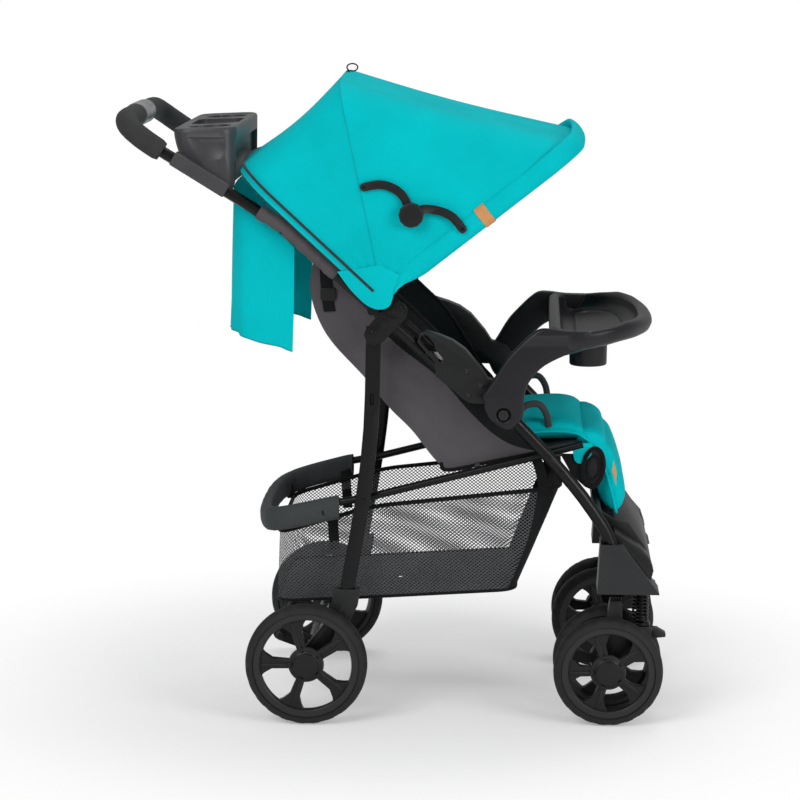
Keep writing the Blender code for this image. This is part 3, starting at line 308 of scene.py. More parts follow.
def grid_sheet(name, rows, closed=False):
    """Grid through rows of points, with a UV map in metres along the cloth."""
    count = len(rows[0])
    spans = count if closed else count - 1
    faces = [(r * count + k, r * count + (k + 1) % count,
              (r + 1) * count + (k + 1) % count, (r + 1) * count + k)
             for r in range(len(rows) - 1) for k in range(spans)]
    item = new_mesh(name, [p for row in rows for p in row], faces)
    across = []
    for row in rows:
        run = [0.0]
        for k in range(spans):
            run.append(run[-1] + math.dist(row[k], row[(k + 1) % count]))
        across.append([u - run[-1] / 2 for u in run])
    middle = count // 2
    along = [0.0]
    for one, two in zip(rows, rows[1:]):
        along.append(along[-1] + math.dist(one[middle], two[middle]))
    uv = item.data.uv_layers.new(name="cloth")
    loop = 0
    for r in range(len(rows) - 1):
        for k in range(spans):
            for row, column in ((r, k), (r, k + 1), (r + 1, k + 1), (r + 1, k)):
                uv.data[loop].uv = (across[row][column], along[row])
                loop += 1
    return item


def new_curve():
    """New curve object without splines."""
    bpy.ops.object.select_all(action="DESELECT")
    bpy.ops.curve.primitive_nurbs_path_add()
    bpy.context.object.data.splines.clear()
    return bpy.context.object


def add_line(curve, points, cyclic):
    """Add a straight-sided line through points of four numbers."""
    spline = curve.splines.new("POLY")
    spline.points.add(len(points) - 1)
    for point, spot in zip(spline.points, points):
        point.co = spot
    spline.use_cyclic_u = cyclic


def tube(name, points, radius, sides, cyclic=False):
    """Round tube along a path."""
    curve = new_curve().data
    add_line(curve, [(*spot, 1) for spot in points], cyclic)
    curve.bevel_depth = radius
    curve.bevel_resolution = max(sides // 2 - 2, 1)
    curve.use_fill_caps = not cyclic
    bpy.ops.object.convert(target="MESH")
    return soften(settle(bpy.context.object, name), 50)


def strap(name, path, across, width, thick):
    """Flat webbing along a path, with its width along the across direction."""
    rows = []
    side = Vector(across).normalized()
    for i, spot in enumerate(path):
        face = flow_at(path, i).cross(side).normalized()
        rows.append([tuple(Vector(spot) + side * s * width / 2 + face * f * thick / 2)
                     for s, f in ((-1, -1), (1, -1), (1, 1), (-1, 1))])
    item = grid_sheet(name, rows, closed=True)
    close_ends(item, 4)
    outward(item)
    modify(item, "BEVEL", width=thick * 0.35, segments=2, limit_method="ANGLE",
           angle_limit=math.radians(50), use_clamp_overlap=True)
    return soften(item, 50)


def rounded_plate(name, outline, one_y, other_y, rim, holes=()):
    """Plate in the side plane with rounded rims, between two places across."""
    item = new_curve()
    curve = item.data
    curve.dimensions = "2D"
    curve.fill_mode = "BOTH"
    curve.extrude = abs(other_y - one_y) / 2 - rim
    curve.bevel_depth = rim
    curve.bevel_resolution = 3
    curve.offset = -rim
    for loop in (outline, *holes):
        add_line(curve, [(x + AXLE_SHIFT, z, 0, 1) for x, z in loop], True)
    item.rotation_euler.x = math.pi / 2
    item.location.y = (one_y + other_y) / 2
    bpy.ops.object.convert(target="MESH")
    return soften(outward(settle(bpy.context.object, name)), 50)


def disc(name, centre, radius, one_y, other_y, edge, sides):
    """Round boss across the side plane, with its rims rounded."""
    bpy.ops.object.select_all(action="DESELECT")
    bpy.ops.mesh.primitive_cylinder_add(
        vertices=sides, radius=radius, depth=abs(other_y - one_y),
        location=from_axle(centre[0], (one_y + other_y) / 2, centre[1]),
        rotation=(math.pi / 2, 0, 0))
    item = settle(bpy.context.object, name)
    modify(item, "BEVEL", width=edge, segments=3, limit_method="ANGLE",
           angle_limit=math.radians(40))
    return soften(item, 40)


def close_ends(item, around):
    """Close the first and the last ring of a ringed sheet."""
    edit = bmesh.new()
    edit.from_mesh(item.data)
    edit.verts.ensure_lookup_table()
    total = len(edit.verts)
    edit.faces.new([edit.verts[k] for k in range(around)])
    edit.faces.new([edit.verts[total - around + k] for k in range(around)])
    edit.to_mesh(item.data)
    edit.free()


def turned(name, profile, centre, y, steps=72):
    """Ring turned from a closed (radius, along axle) profile, lying on an axle."""
    bpy.ops.object.select_all(action="DESELECT")
    bpy.ops.mesh.primitive_circle_add(vertices=len(profile), radius=0.01)
    item = bpy.context.object
    for vertex, (radius, along) in zip(item.data.vertices, profile):
        vertex.co = (radius, along, 0)
    bpy.ops.object.mode_set(mode="EDIT")
    bpy.ops.mesh.select_all(action="SELECT")
    bpy.ops.mesh.spin(steps=steps, angle=math.tau, center=(0, 0, 0), axis=(0, 1, 0))
    bpy.ops.object.mode_set(mode="OBJECT")
    item.location = from_axle(centre[0], y, centre[1])
    return soften(outward(settle(item, name)), 35)


def moulded_copy(node, edge, smooth):
    """Merged copy of a CAD node, with rounded edges, that stands for it."""
    item = bpy.data.objects.new(node + "_part", NODES[node].data.copy())
    bpy.context.scene.collection.objects.link(item)
    item.data.materials.clear()
    only(item)
    bpy.ops.mesh.customdata_custom_splitnormals_clear()
    bpy.ops.object.mode_set(mode="EDIT")
    bpy.ops.mesh.select_all(action="SELECT")
    bpy.ops.mesh.remove_doubles(threshold=0.00002)
    bpy.ops.mesh.dissolve_limited(angle_limit=math.radians(0.5))
    bpy.ops.object.mode_set(mode="OBJECT")
    if edge:
        modify(item, "BEVEL", width=edge, segments=2, limit_method="ANGLE",
               angle_limit=math.radians(50), use_clamp_overlap=False,
               harden_normals=False)
    return soften(item, smooth)


def place(item, body, finish, slot, *nodes):
    """Give a piece its finish and its body, and let it stand for CAD nodes."""
    item.data.materials.clear()
    item.data.materials.append(FINISH[finish])
    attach(item, body)
    if nodes:
        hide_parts(*nodes)
    return item


# Materials

FINISH = {}


def add_node(tree, kind, settings=None, sockets=None):
    """Add a node with its settings, and what each socket holds or is linked to."""
    item = tree.nodes.new(kind)
    for name, value in (settings or {}).items():
        setattr(item, name, value)
    for socket, value in (sockets or {}).items():
        if isinstance(value, bpy.types.NodeSocket):
            tree.links.new(value, item.inputs[socket])
        else:
            item.inputs[socket].default_value = value
    return item


def new_finish(name, shader_values):
    """New material with the shader's plain values set, and its tree and shader."""
    material = bpy.data.materials.new(name)
    material.use_nodes = True
    tree = material.node_tree
    shader = tree.nodes["Principled BSDF"]
    for socket, value in shader_values.items():
        shader.inputs[socket].default_value = value
    FINISH[name] = material
    return tree, shader


NOISE_RANGE = (0.3, 0.7)


def object_place(tree):
    """Place on an object, in metres."""
    return add_node(tree, "ShaderNodeTexCoord").outputs["Object"]


def noise(tree, where, scale, detail, **more):
    """Cloudy noise, whose values lie mostly within NOISE_RANGE."""
    return add_node(tree, "ShaderNodeTexNoise", sockets={
        "Vector": where, "Scale": scale, "Detail": detail, **more}).outputs["Fac"]


def remap(tree, value, start, end, low, high):
    """Value stretched from the range start to end onto the range low to high."""
    return add_node(tree, "ShaderNodeMapRange", sockets={
        "Value": value, "From Min": start, "From Max": end,
        "To Min": low, "To Max": high}).outputs["Result"]


def scaled(tree, colour, strength):
    """Colour made stronger or weaker by a value."""
    return add_node(tree, "ShaderNodeVectorMath", {"operation": "SCALE"}, {
        0: colour, "Scale": strength}).outputs["Vector"]


def bumped(tree, height, strength, distance, **under):
    """Normal of a surface raised by a height."""
    return add_node(tree, "ShaderNodeBump", sockets={
        "Strength": strength, "Distance": distance, "Height": height,
        **under}).outputs["Normal"]


def connect(tree, shader, sources):
    """Link what feeds each of a shader's sockets."""
    for socket, source in sources.items():
        tree.links.new(source, shader.inputs[socket])


def patchy(tree, coordinates, colour, feature, low, high):
    """Colour that varies a little over patches of a size in metres."""
    clouds = noise(tree, coordinates, 1 / feature, 3.0, Roughness=0.55)
    return scaled(tree, colour[:3], remap(tree, clouds, *NOISE_RANGE, low, high))


def threads(tree, coordinates, spacing, axes):
    """Height of crossing threads, one wave for each axis."""
    wave_unit = 0.31416
    total = None
    for axis in axes:
        wave = add_node(tree, "ShaderNodeTexWave", {"bands_direction": axis}, {
            "Vector": coordinates, "Scale": wave_unit / spacing, "Distortion": 0.5,
            "Detail": 1.0, "Detail Scale": 0.3}).outputs["Fac"]
        total = wave if total is None else add_node(
            tree, "ShaderNodeMath", {"operation": "ADD"}, {0: total, 1: wave}).outputs[0]
    return total


def woven(name, colour, spacing, on_uv, sheen, roughness, relief=0.00035, patch=0.09):
    """Woven polyester: crossing threads, soft sheen, slight tone patches, and painted shade that
    darkens the grooves between threads.
    """
    tree, shader = new_finish(name, {
        "Roughness": roughness, "Sheen Weight": sheen, "Sheen Roughness": 0.45,
        "Specular IOR Level": 0.05, "IOR": 1.5})
    where = add_node(tree, "ShaderNodeTexCoord")
    weave_at = where.outputs["UV" if on_uv else "Object"]
    height = threads(tree, weave_at, spacing, ("X", "Y") if on_uv else ("X", "Y", "Z"))
    base = patchy(tree, where.outputs["Object"], colour, patch, 0.93, 1.05)
    crease = noise(tree, where.outputs["Object"], 14.0, 2.0)
    folds = bumped(tree, crease, 0.25, 0.004)
    connect(tree, shader, {
        # Base colour is darker where the thread height is low: painted shade in the grooves
        # between threads.
        "Base Color": scaled(tree, base, remap(tree, height, 0.2, 1.4, 0.90, 1.03)),
        "Normal": bumped(tree, height, 0.4, relief, Normal=folds)})


def net(name, colour, width, height):
    """Warp-knitted net: thin dark ribs round rows of small diamond holes."""
    tree, shader = new_finish(name, {"Roughness": 0.75, "Specular IOR Level": 0.2})
    where = object_place(tree)
    ahead = add_node(tree, "ShaderNodeVectorMath", {"operation": "ADD"}, {0: where, 1: (1, 0, 0)})
    folded = add_node(tree, "ShaderNodeVectorMath", {"operation": "ABSOLUTE"}, {
        0: ahead.outputs["Vector"]})
    waves = []
    for lean in (1, -1):
        along = (math.pi / width, math.pi / width, lean * math.pi / height)
        phase = add_node(tree, "ShaderNodeVectorMath", {"operation": "DOT_PRODUCT"}, {
            0: folded.outputs["Vector"], 1: along})
        waves.append(add_node(tree, "ShaderNodeMath", {"operation": "SINE"}, {
            0: phase.outputs["Value"]}).outputs[0])
    hole = add_node(tree, "ShaderNodeMath", {"operation": "MULTIPLY"}, {0: waves[0], 1: waves[1]})
    size = add_node(tree, "ShaderNodeMath", {"operation": "ABSOLUTE"}, {0: hole.outputs[0]})
    connect(tree, shader, {
        "Base Color": patchy(tree, where, colour, 0.05, 0.85, 1.1),
        "Alpha": remap(tree, size.outputs[0], 0.30, 0.44, 1.0, 0.0)})


def moulded(name, colour, roughness, grain, highlight_share, coat=0.0):
    """Moulded plastic: fine spark-eroded grain, and a painted highlight that makes sharp edges
    paler.
    """
    tree, shader = new_finish(name, {
        "Roughness": roughness, "IOR": 1.49, "Specular IOR Level": 0.26,
        "Coat Weight": coat, "Coat Roughness": 0.25})
    where = object_place(tree)
    fine = noise(tree, where, 1 / grain, 2.0)
    base = patchy(tree, where, colour, 0.06, 0.92, 1.08)
    # Sharp edges are mixed towards pale grey: a painted highlight along the edges.
    sharpness = add_node(tree, "ShaderNodeNewGeometry").outputs["Pointiness"]
    painted_highlight = add_node(tree, "ShaderNodeMix", {"data_type": "RGBA"}, {
        "Factor": remap(tree, sharpness, 0.53, 0.62, 0.0, highlight_share), 6: base,
        7: linear("#6A6B6D")})
    connect(tree, shader, {
        "Base Color": painted_highlight.outputs[2],
        "Roughness": remap(tree, fine, *NOISE_RANGE, roughness - 0.05, roughness + 0.07),
        "Normal": bumped(tree, fine, 0.18, 0.0003)})


def powder_coat(name, colour):
    """Powder-coated steel tube: semi-gloss black with a faint orange-peel."""
    tree, shader = new_finish(name, {
        "Roughness": 0.30, "IOR": 1.5, "Specular IOR Level": 0.20, "Coat Weight": 0.03})
    where = object_place(tree)
    peel = noise(tree, where, 420.0, 1.0)
    connect(tree, shader, {
        "Base Color": patchy(tree, where, colour, 0.12, 0.9, 1.12),
        "Roughness": remap(tree, peel, *NOISE_RANGE, 0.27, 0.38),
        "Normal": bumped(tree, peel, 0.12, 0.0003)})


def cellular(name, colour, cell, roughness, depth):
    """Foam or rubber: small rounded pits and a dull, slightly dusty surface."""
    tree, shader = new_finish(name, {"Roughness": roughness, "Specular IOR Level": 0.35})
    where = object_place(tree)
    pits = add_node(tree, "ShaderNodeTexVoronoi", sockets={"Vector": where, "Scale": 1 / cell})
    connect(tree, shader, {
        "Base Color": patchy(tree, where, colour, 0.02, 0.86, 1.12),
        "Normal": bumped(tree, pits.outputs["Distance"], 0.35, depth)})


def plated_steel(name, colour):
    """Zinc-plated steel with a slightly blotched gloss."""
    tree, shader = new_finish(name, {"Metallic": 1.0, "Roughness": 0.3})
    where = object_place(tree)
    connect(tree, shader, {
        "Base Color": patchy(tree, where, colour, 0.01, 0.85, 1.1),
        "Roughness": remap(tree, noise(tree, where, 160.0, 3.0), *NOISE_RANGE, 0.24, 0.42)})


SLOT_FINISH = {
    "black_paint": "powder_coated_tube", "black_plastic": "glass_filled_nylon",
    "tray_plastic": "satin_polypropylene", "grey_plastic": "grey_abs", "tyre": "eva_tyre",
    "foam": "foam_grip", "teal_cloth": "polyester_pad_cloth", "grey_cloth": "polyester_shell",
    "black_cloth": "polyester_webbing", "mesh_cloth": "basket_net",
    "bright_steel": "zinc_plated_steel",
}


class PUSHCHAIR_OT_finishes(bpy.types.Operator):
    """Make every material, and give each CAD node the one of its slot."""

    bl_idname = "pushchair.finishes"
    bl_label = "Make finishes"

    def execute(self, context):
        colours = context.scene.pushchair_colours
        sizes = context.scene.pushchair_sizes
        woven("polyester_canopy", colours.canopy_cloth, sizes.thread, True, 0.0, 0.8)
        woven("polyester_pad_cloth", colours.canopy_cloth, sizes.thread, False, 0.0, 0.8)
        woven("polyester_shell", colours.shell_cloth, sizes.thread, False, 0.06, 0.7)
        woven("polyester_sleeve", colours.sleeve, sizes.thread, False, 0.1, 0.7)
        woven("polyester_lining", colours.dark_cloth, sizes.thread, True, 0.05, 0.75)
        woven("polyester_band", colours.bumper_cloth, sizes.thread, False, 0.08, 0.7)
        woven("polyester_webbing", colours.webbing, 0.0030, False, 0.06, 0.6, 0.0006)
        woven("sewn_piping", colours.piping, 0.0026, False, 0.15, 0.55)
        woven("sewn_thread", linear("#00969C"), 0.0022, False, 0.05, 0.6)
        woven("leather_look_tag", colours.tag, 0.0019, False, 0.1, 0.5, 0.0002, 0.02)
        net("basket_net", colours.net, sizes.net_width, sizes.net_height)
        moulded("glass_filled_nylon", colours.moulding, 0.42, 0.0016, 0.25)
        moulded("satin_polypropylene", colours.tray, 0.38, 0.0013, 0.35)
        moulded("parent_tray_polypropylene", colours.parent_tray, 0.36, 0.0013, 0.25)
        moulded("grey_abs", colours.collar, 0.28, 0.0020, 0.1, 0.3)
        moulded("wheel_nylon", linear("#161617"), 0.42, 0.0016, 0.3)
        powder_coat("powder_coated_tube", colours.paint)
        cellular("foam_grip", colours.foam, 0.0016, 0.88, 0.0004)
        cellular("eva_tyre", colours.tyre, 0.0024, 0.72, 0.0003)
        plated_steel("zinc_plated_steel", colours.plated)
        for node, item in NODES.items():
            item.data.materials.clear()
            item.data.materials.append(FINISH[SLOT_FINISH[SLOT_OF[node]]])
        return {"FINISHED"}


# Stage

class PUSHCHAIR_OT_stage(bpy.types.Operator):
    """Make the pale floor, the studio lamps, the world and the camera."""

    bl_idname = "pushchair.stage"
    bl_label = "Make stage"

    def execute(self, context):
        context.scene.view_settings.view_transform = "Standard"
        yaw, dip = -0.0468, 0.1672
        ahead = Vector((math.sin(yaw) * math.cos(dip), math.cos(yaw) * math.cos(dip),
                        -math.sin(dip)))
        across = Vector((math.cos(yaw), -math.sin(yaw), 0))
        above = across.cross(ahead)
        bpy.ops.object.camera_add()
        camera = context.object
        turn = Matrix((across, above, -ahead)).transposed().to_4x4()
        camera.matrix_world = Matrix.Translation(from_axle(0.3371, -4.3268, 1.2024)) @ turn
        camera.data.sensor_fit = "HORIZONTAL"
        camera.data.sensor_width = 36.0
        camera.data.lens = 123.6
        context.scene.camera = camera

        bpy.ops.object.select_all(action="DESELECT")
        bpy.ops.mesh.primitive_circle_add(vertices=64, radius=9.0, fill_type="NGON")
        floor = settle(context.object, "studio_floor")
        self.floor_material(context)
        floor.data.materials.append(FINISH["studio_floor"])
        self.world(context)
        for name, spot, size, watts, aim in (
                ("key_lamp", (-1.9, -3.0, 2.9), 2.0, 78.0, (0.0, 0.0, 0.5)),
                ("fill_lamp", (2.6, -2.4, 1.6), 1.6, 52.0, (0.0, 0.0, 0.4)),
                ("top_lamp", (0.3, 0.9, 3.2), 1.8, 26.0, (0.0, 0.0, 0.6))):
            bpy.ops.object.light_add(type="AREA", location=spot)
            lamp = context.object
            lamp.name = name
            lamp.data.size = size
            lamp.data.energy = watts
            toward = Vector(aim) - Vector(spot)
            lamp.rotation_euler = toward.to_track_quat("-Z", "Y").to_euler()
        return {"FINISHED"}

    def floor_material(self, context):
        """Matt floor that fades to the white background away from the pushchair."""
        tree, shader = new_finish("studio_floor", {
            "Roughness": 0.9, "Specular IOR Level": 0.1,
            "Base Color": context.scene.pushchair_colours.floor})
        reach = add_node(tree, "ShaderNodeVectorMath", {"operation": "LENGTH"}, {
            0: object_place(tree)})
        fade = add_node(tree, "ShaderNodeMapRange", {"interpolation_type": "SMOOTHSTEP"}, {
            "Value": reach.outputs["Value"], "From Min": 0.40, "From Max": 0.95,
            "To Min": 0.30, "To Max": 1.0})
        seen = add_node(tree, "ShaderNodeLightPath").outputs["Is Camera Ray"]
        share = add_node(tree, "ShaderNodeMath", {"operation": "MULTIPLY"}, {
            0: fade.outputs["Result"], 1: seen})
        white = add_node(tree, "ShaderNodeEmission", sockets={"Strength": 1.0})
        mix = add_node(tree, "ShaderNodeMixShader", sockets={
            0: share.outputs[0], 1: shader.outputs[0], 2: white.outputs[0]})
        connect(tree, tree.nodes["Material Output"], {"Surface": mix.outputs[0]})

    def world(self, context):
        """White background to the eye and through transmission, and softer light on the object."""
        world = bpy.data.worlds.new("studio")
        context.scene.world = world
        world.use_nodes = True
        tree = world.node_tree
        path = add_node(tree, "ShaderNodeLightPath")
        seen = add_node(tree, "ShaderNodeMath", {"operation": "MAXIMUM"}, {
            0: path.outputs["Is Camera Ray"], 1: path.outputs["Is Transmission Ray"]})
        background = tree.nodes["Background"]
        background.inputs["Color"].default_value = (1, 1, 1, 1)
        connect(tree, background, {"Strength": remap(tree, seen.outputs[0], 0.0, 1.0, 0.42, 1.0)})


# Mouldings and tubes

class PUSHCHAIR_OT_mouldings(bpy.types.Operator):
    """Round the frame's tubes and mouldings, and add the arm screws and latch wedges."""

    bl_idname = "pushchair.mouldings"
    bl_label = "Round mouldings and tubes"

    bevelled = ("hinge_housing", "front_housing", "foot_plate", "bracket_plate",
                "rear_housing", "castor_fork", "brake_pedal", "swivel_lock", "tray_button",
                "arm_rear", "arm_front", "kingpin", "latch_rod")
    smooth_only = ("push_tube", "front_leg", "rear_leg", "rear_axle", "seat_hoop",
                   "canopy_rear_bow", "seat_board")

    def execute(self, context):
        edge = context.scene.pushchair_sizes.mould_edge
        for node in sorted(NODES):
            stem = node.removesuffix("_right").removesuffix("_left")
            if stem in self.bevelled or stem in self.smooth_only:
                item = moulded_copy(node, edge if stem in self.bevelled else 0.0, 50)
                slot = SLOT_OF[node]
                painted = stem in ("latch_rod", "kingpin")
                finish = "powder_coated_tube" if painted else SLOT_FINISH[slot]
                place(item, BODY_OF[node], finish, slot, node)
        for side, sign in SIDES:
            self.screws(side, sign)
            self.latch(side, sign)
        return {"FINISHED"}

    def latch(self, side, sign):
        """Bright wedge at the end of a latch rod, where it enters its hook."""
        outline = [(0.1950, 0.5800), (0.2026, 0.5812), (0.2139, 0.5630), (0.1985, 0.5716)]
        wedge = rounded_plate("latch_wedge_" + side, outline, sign * 0.2030, sign * 0.2048,
                              0.0005)
        place(wedge, "latch_rods", "zinc_plated_steel", "bright_steel")

    def screws(self, side, sign):
        """Screw heads on the canopy's folding arms."""
        for name, centre, outer, body in (
                ("rear", (0.091, 0.832), 0.2255, "arms_rear"),
                ("middle", (0.162, 0.791), 0.2350, "arms_front"),
                ("front", (0.239, 0.770), 0.2295, "arms_front")):
            head = disc("arm_screw_" + name + "_" + side, centre, 0.0026, sign * outer,
                        sign * (outer + 0.0009), 0.0003, 16)
            place(head, body, "powder_coated_tube", "black_paint")
        cap = disc("arm_knob_cap_" + side, (0.162, 0.791), 0.0166, sign * 0.2350,
                   sign * 0.2364, 0.0012, 40)
        place(cap, "arms_front", "glass_filled_nylon", "black_plastic")


class PUSHCHAIR_OT_parent_tray(bpy.types.Operator):
    """Make the parent's tray with two cup wells, a pocket and its tube clamps."""

    bl_idname = "pushchair.parent_tray"
    bl_label = "Make parent tray"

    around = 160

    def execute(self, context):
        rows = []
        for back, front, low_back, low_front, reach, corner in (
                (-0.172, -0.1160, 0.8640, 0.8300, 0.172, 0.006),
                (-0.1860, -0.1110, 0.8700, 0.8250, 0.1815, 0.008),
                (-0.1940, -0.1090, 0.8800, 0.8340, 0.1838, 0.012),
                (-0.1985, -0.1075, 0.8920, 0.8600, 0.1846, 0.020),
                (-0.2012, -0.1066, 0.9020, 0.8900, 0.1850, 0.026),
                (-0.2022, -0.1060, 0.9060, 0.9070, 0.1852, 0.030),
                (-0.2028, -0.1058, 0.9110, 0.9140, 0.1858, 0.032),
                (-0.2010, -0.1072, 0.9145, 0.9178, 0.1842, 0.032),
                (-0.1980, -0.1100, 0.9155, 0.9188, 0.1812, 0.030),
                (-0.1960, -0.1120, 0.9140, 0.9172, 0.1792, 0.028),
                (-0.1700, -0.1400, 0.9148, 0.9160, 0.1500, 0.010)):
            plan = rounded_loop([(back, -reach), (front, -reach), (front, reach),
                                 (back, reach)], corner, 8)
            row = []
            for x, y in resample(plan, self.around, closed=True):
                share = (x - back) / (front - back)
                row.append(tuple(from_axle(x, y, low_back + (low_front - low_back) * share)))
            rows.append(row)
        tray = grid_sheet("parent_tray_body", rows, closed=True)
        close_ends(tray, self.around)
        outward(tray)
        well_floor, well_depth = 0.866, 0.1
        for sign in (-1, 1):
            bpy.ops.mesh.primitive_cylinder_add(
                vertices=64, radius=0.033, depth=well_depth,
                location=from_axle(-0.152, sign * 0.118, well_floor + well_depth / 2))
            self.carve(tray, bpy.context.object)
        for sign in (-1, 1):
            bpy.ops.mesh.primitive_uv_sphere_add(segments=48, ring_count=24, radius=1.0,
                                                 location=from_axle(-0.150, sign * 0.1968, 0.9030))
            scoop = bpy.context.object
            for vertex in scoop.data.vertices:
                vertex.co.z = min(vertex.co.z, 0.0)
                vertex.co.x -= vertex.co.z * 0.34
            scoop.scale = (0.040, 0.0190, 0.0450)
            self.carve(tray, scoop)
        self.carve(tray, self.box(-0.098, 0.8470, (0.036, 0.330, 0.094)))
        pocket = self.box(-0.153, 0.9330, (0.074, 0.124, 0.080))
        modify(pocket, "BEVEL", width=0.020, segments=6)
        self.carve(tray, pocket)
        modify(tray, "BEVEL", width=0.0012, segments=2, limit_method="ANGLE",
               angle_limit=math.radians(50))
        soften(tray, 40)
        parts = [tray]
        for side, sign in SIDES:
            outline = rounded_loop([(-0.2045, 0.8640), (-0.1935, 0.8830), (-0.1125, 0.8330),
                                    (-0.1235, 0.8140)], 0.003, 3)
            parts.append(rounded_plate("tray_clamp_" + side, outline, sign * 0.1840,
                                       sign * 0.2135, 0.0030))
            parts.append(disc("tray_screw_" + side, (-0.1755, 0.8570), 0.0036, sign * 0.2133,
                              sign * 0.2146, 0.0004, 20))
        whole = joined("parent_tray_moulding", parts)
        place(whole, "handle_frame", "parent_tray_polypropylene", "tray_plastic",
              "parent_tray")
        return {"FINISHED"}

    def box(self, x, z, size):
        """Box to cut with, in the middle of the pushchair."""
        bpy.ops.mesh.primitive_cube_add(size=1.0, location=from_axle(x, 0, z))
        bpy.context.object.scale = size
        return settle(bpy.context.object, "cutter")

    def carve(self, item, cutter):
        """Cut a closed shape out of a piece, and throw the cutter away."""
        settle(cutter, "cutter")
        modify(item, "BOOLEAN", operation="DIFFERENCE", object=cutter, solver="EXACT")
        bpy.data.objects.remove(cutter)


class PUSHCHAIR_OT_handle(bpy.types.Operator):
    """Make the foam grip, the cloth sleeves of the push tubes and the release collar."""

    bl_idname = "pushchair.handle"
    bl_label = "Make handle grip"

    def execute(self, context):
        x, z = HANDLE_BAR
        half = [(GRIP_END[0], FRAME_Y, GRIP_END[1]), (-0.245, 0.199, 0.9020),
                (-0.265, 0.189, 0.9175), (-0.2735, 0.166, 0.9260), (x, 0.120, z), (x, 0.0, z)]
        whole = [(px, -py, pz) for px, py, pz in half] + half[-2::-1]
        path = resample(smooth_path(whole, 6), 90)
        rows = []
        for i, centre in enumerate(path):
            flow = flow_at(path, i)
            side = flow.cross(Vector((0, 0, 1))).normalized()
            rise = side.cross(flow)
            end = min(i, len(path) - 1 - i)
            radius = 0.0148 - 0.0016 * max(0.0, 1 - end / 1.5) ** 2
            middle = from_axle(*centre)
            rows.append([tuple(middle + (side * math.cos(a) + rise * math.sin(a)) * radius)
                         for a in circle(24)])
        rows = [self.narrowed(rows[0]), *rows, self.narrowed(rows[-1])]
        grip = grid_sheet("handle_grip_foam", rows, closed=True)
        modify(grip, "SOLIDIFY", thickness=0.002, offset=-1)
        soften(grip, 50)
        place(grip, "handle_frame", "foam_grip", "foam", "handle_grip")
        for side, sign in SIDES:
            self.sleeve(side, sign)
        self.collar()
        return {"FINISHED"}

    def narrowed(self, ring):
        """Smaller ring inside an end ring, open for the tube."""
        centre = sum((Vector(p) for p in ring), Vector()) / len(ring)
        return [tuple(centre + (Vector(p) - centre) * 0.70) for p in ring]

    def sleeve(self, side, sign):
        """Sewn cloth sleeve round a push tube, under the canopy."""
        line = resample(smooth_path([(-0.0700, 0.7925), (-0.0480, 0.7790), (-0.0300, 0.7670),
                                     (0.0480, 0.6975)], 8), 41)
        rows = []
        for i, (x, z) in enumerate(line):
            heading = heading_at(line, i)
            swell = 0.0114 + 0.0007 * math.sin(i * 0.9) + 0.0004 * math.sin(i * 2.3 + 1)
            rows.append([tuple(from_axle(x - math.sin(heading) * swell * math.cos(a),
                                         sign * (FRAME_Y + swell * math.sin(a)),
                                         z + math.cos(heading) * swell * math.cos(a)))
                         for a in circle(24)])
        sleeve = grid_sheet("push_tube_sleeve_" + side, rows, closed=True)
        modify(sleeve, "SOLIDIFY", thickness=0.0012, offset=-1)
        outward(sleeve)
        soften(sleeve, 60)
        place(sleeve, "handle_frame", "polyester_sleeve", "grey_cloth")

    def collar(self):
        """Release collar: a smooth half and a half with ribs."""
        profile = [(0.0154, -0.0500), (0.0176, -0.0500), (0.0184, -0.0490), (0.0186, -0.0150)]
        for k in range(5):
            along = -0.0120 + 0.0110 * k
            profile += [(0.0186, along), (0.0172, along + 0.0008), (0.0172, along + 0.0030),
                        (0.0186, along + 0.0038)]
        profile += [(0.0186, 0.0485), (0.0176, 0.0500), (0.0154, 0.0500)]
        ring = turned("release_collar_ring", profile, HANDLE_BAR, 0.0)
        place(ring, "release_collar", "grey_abs", "grey_plastic", "release_collar")


# Wheels and springs

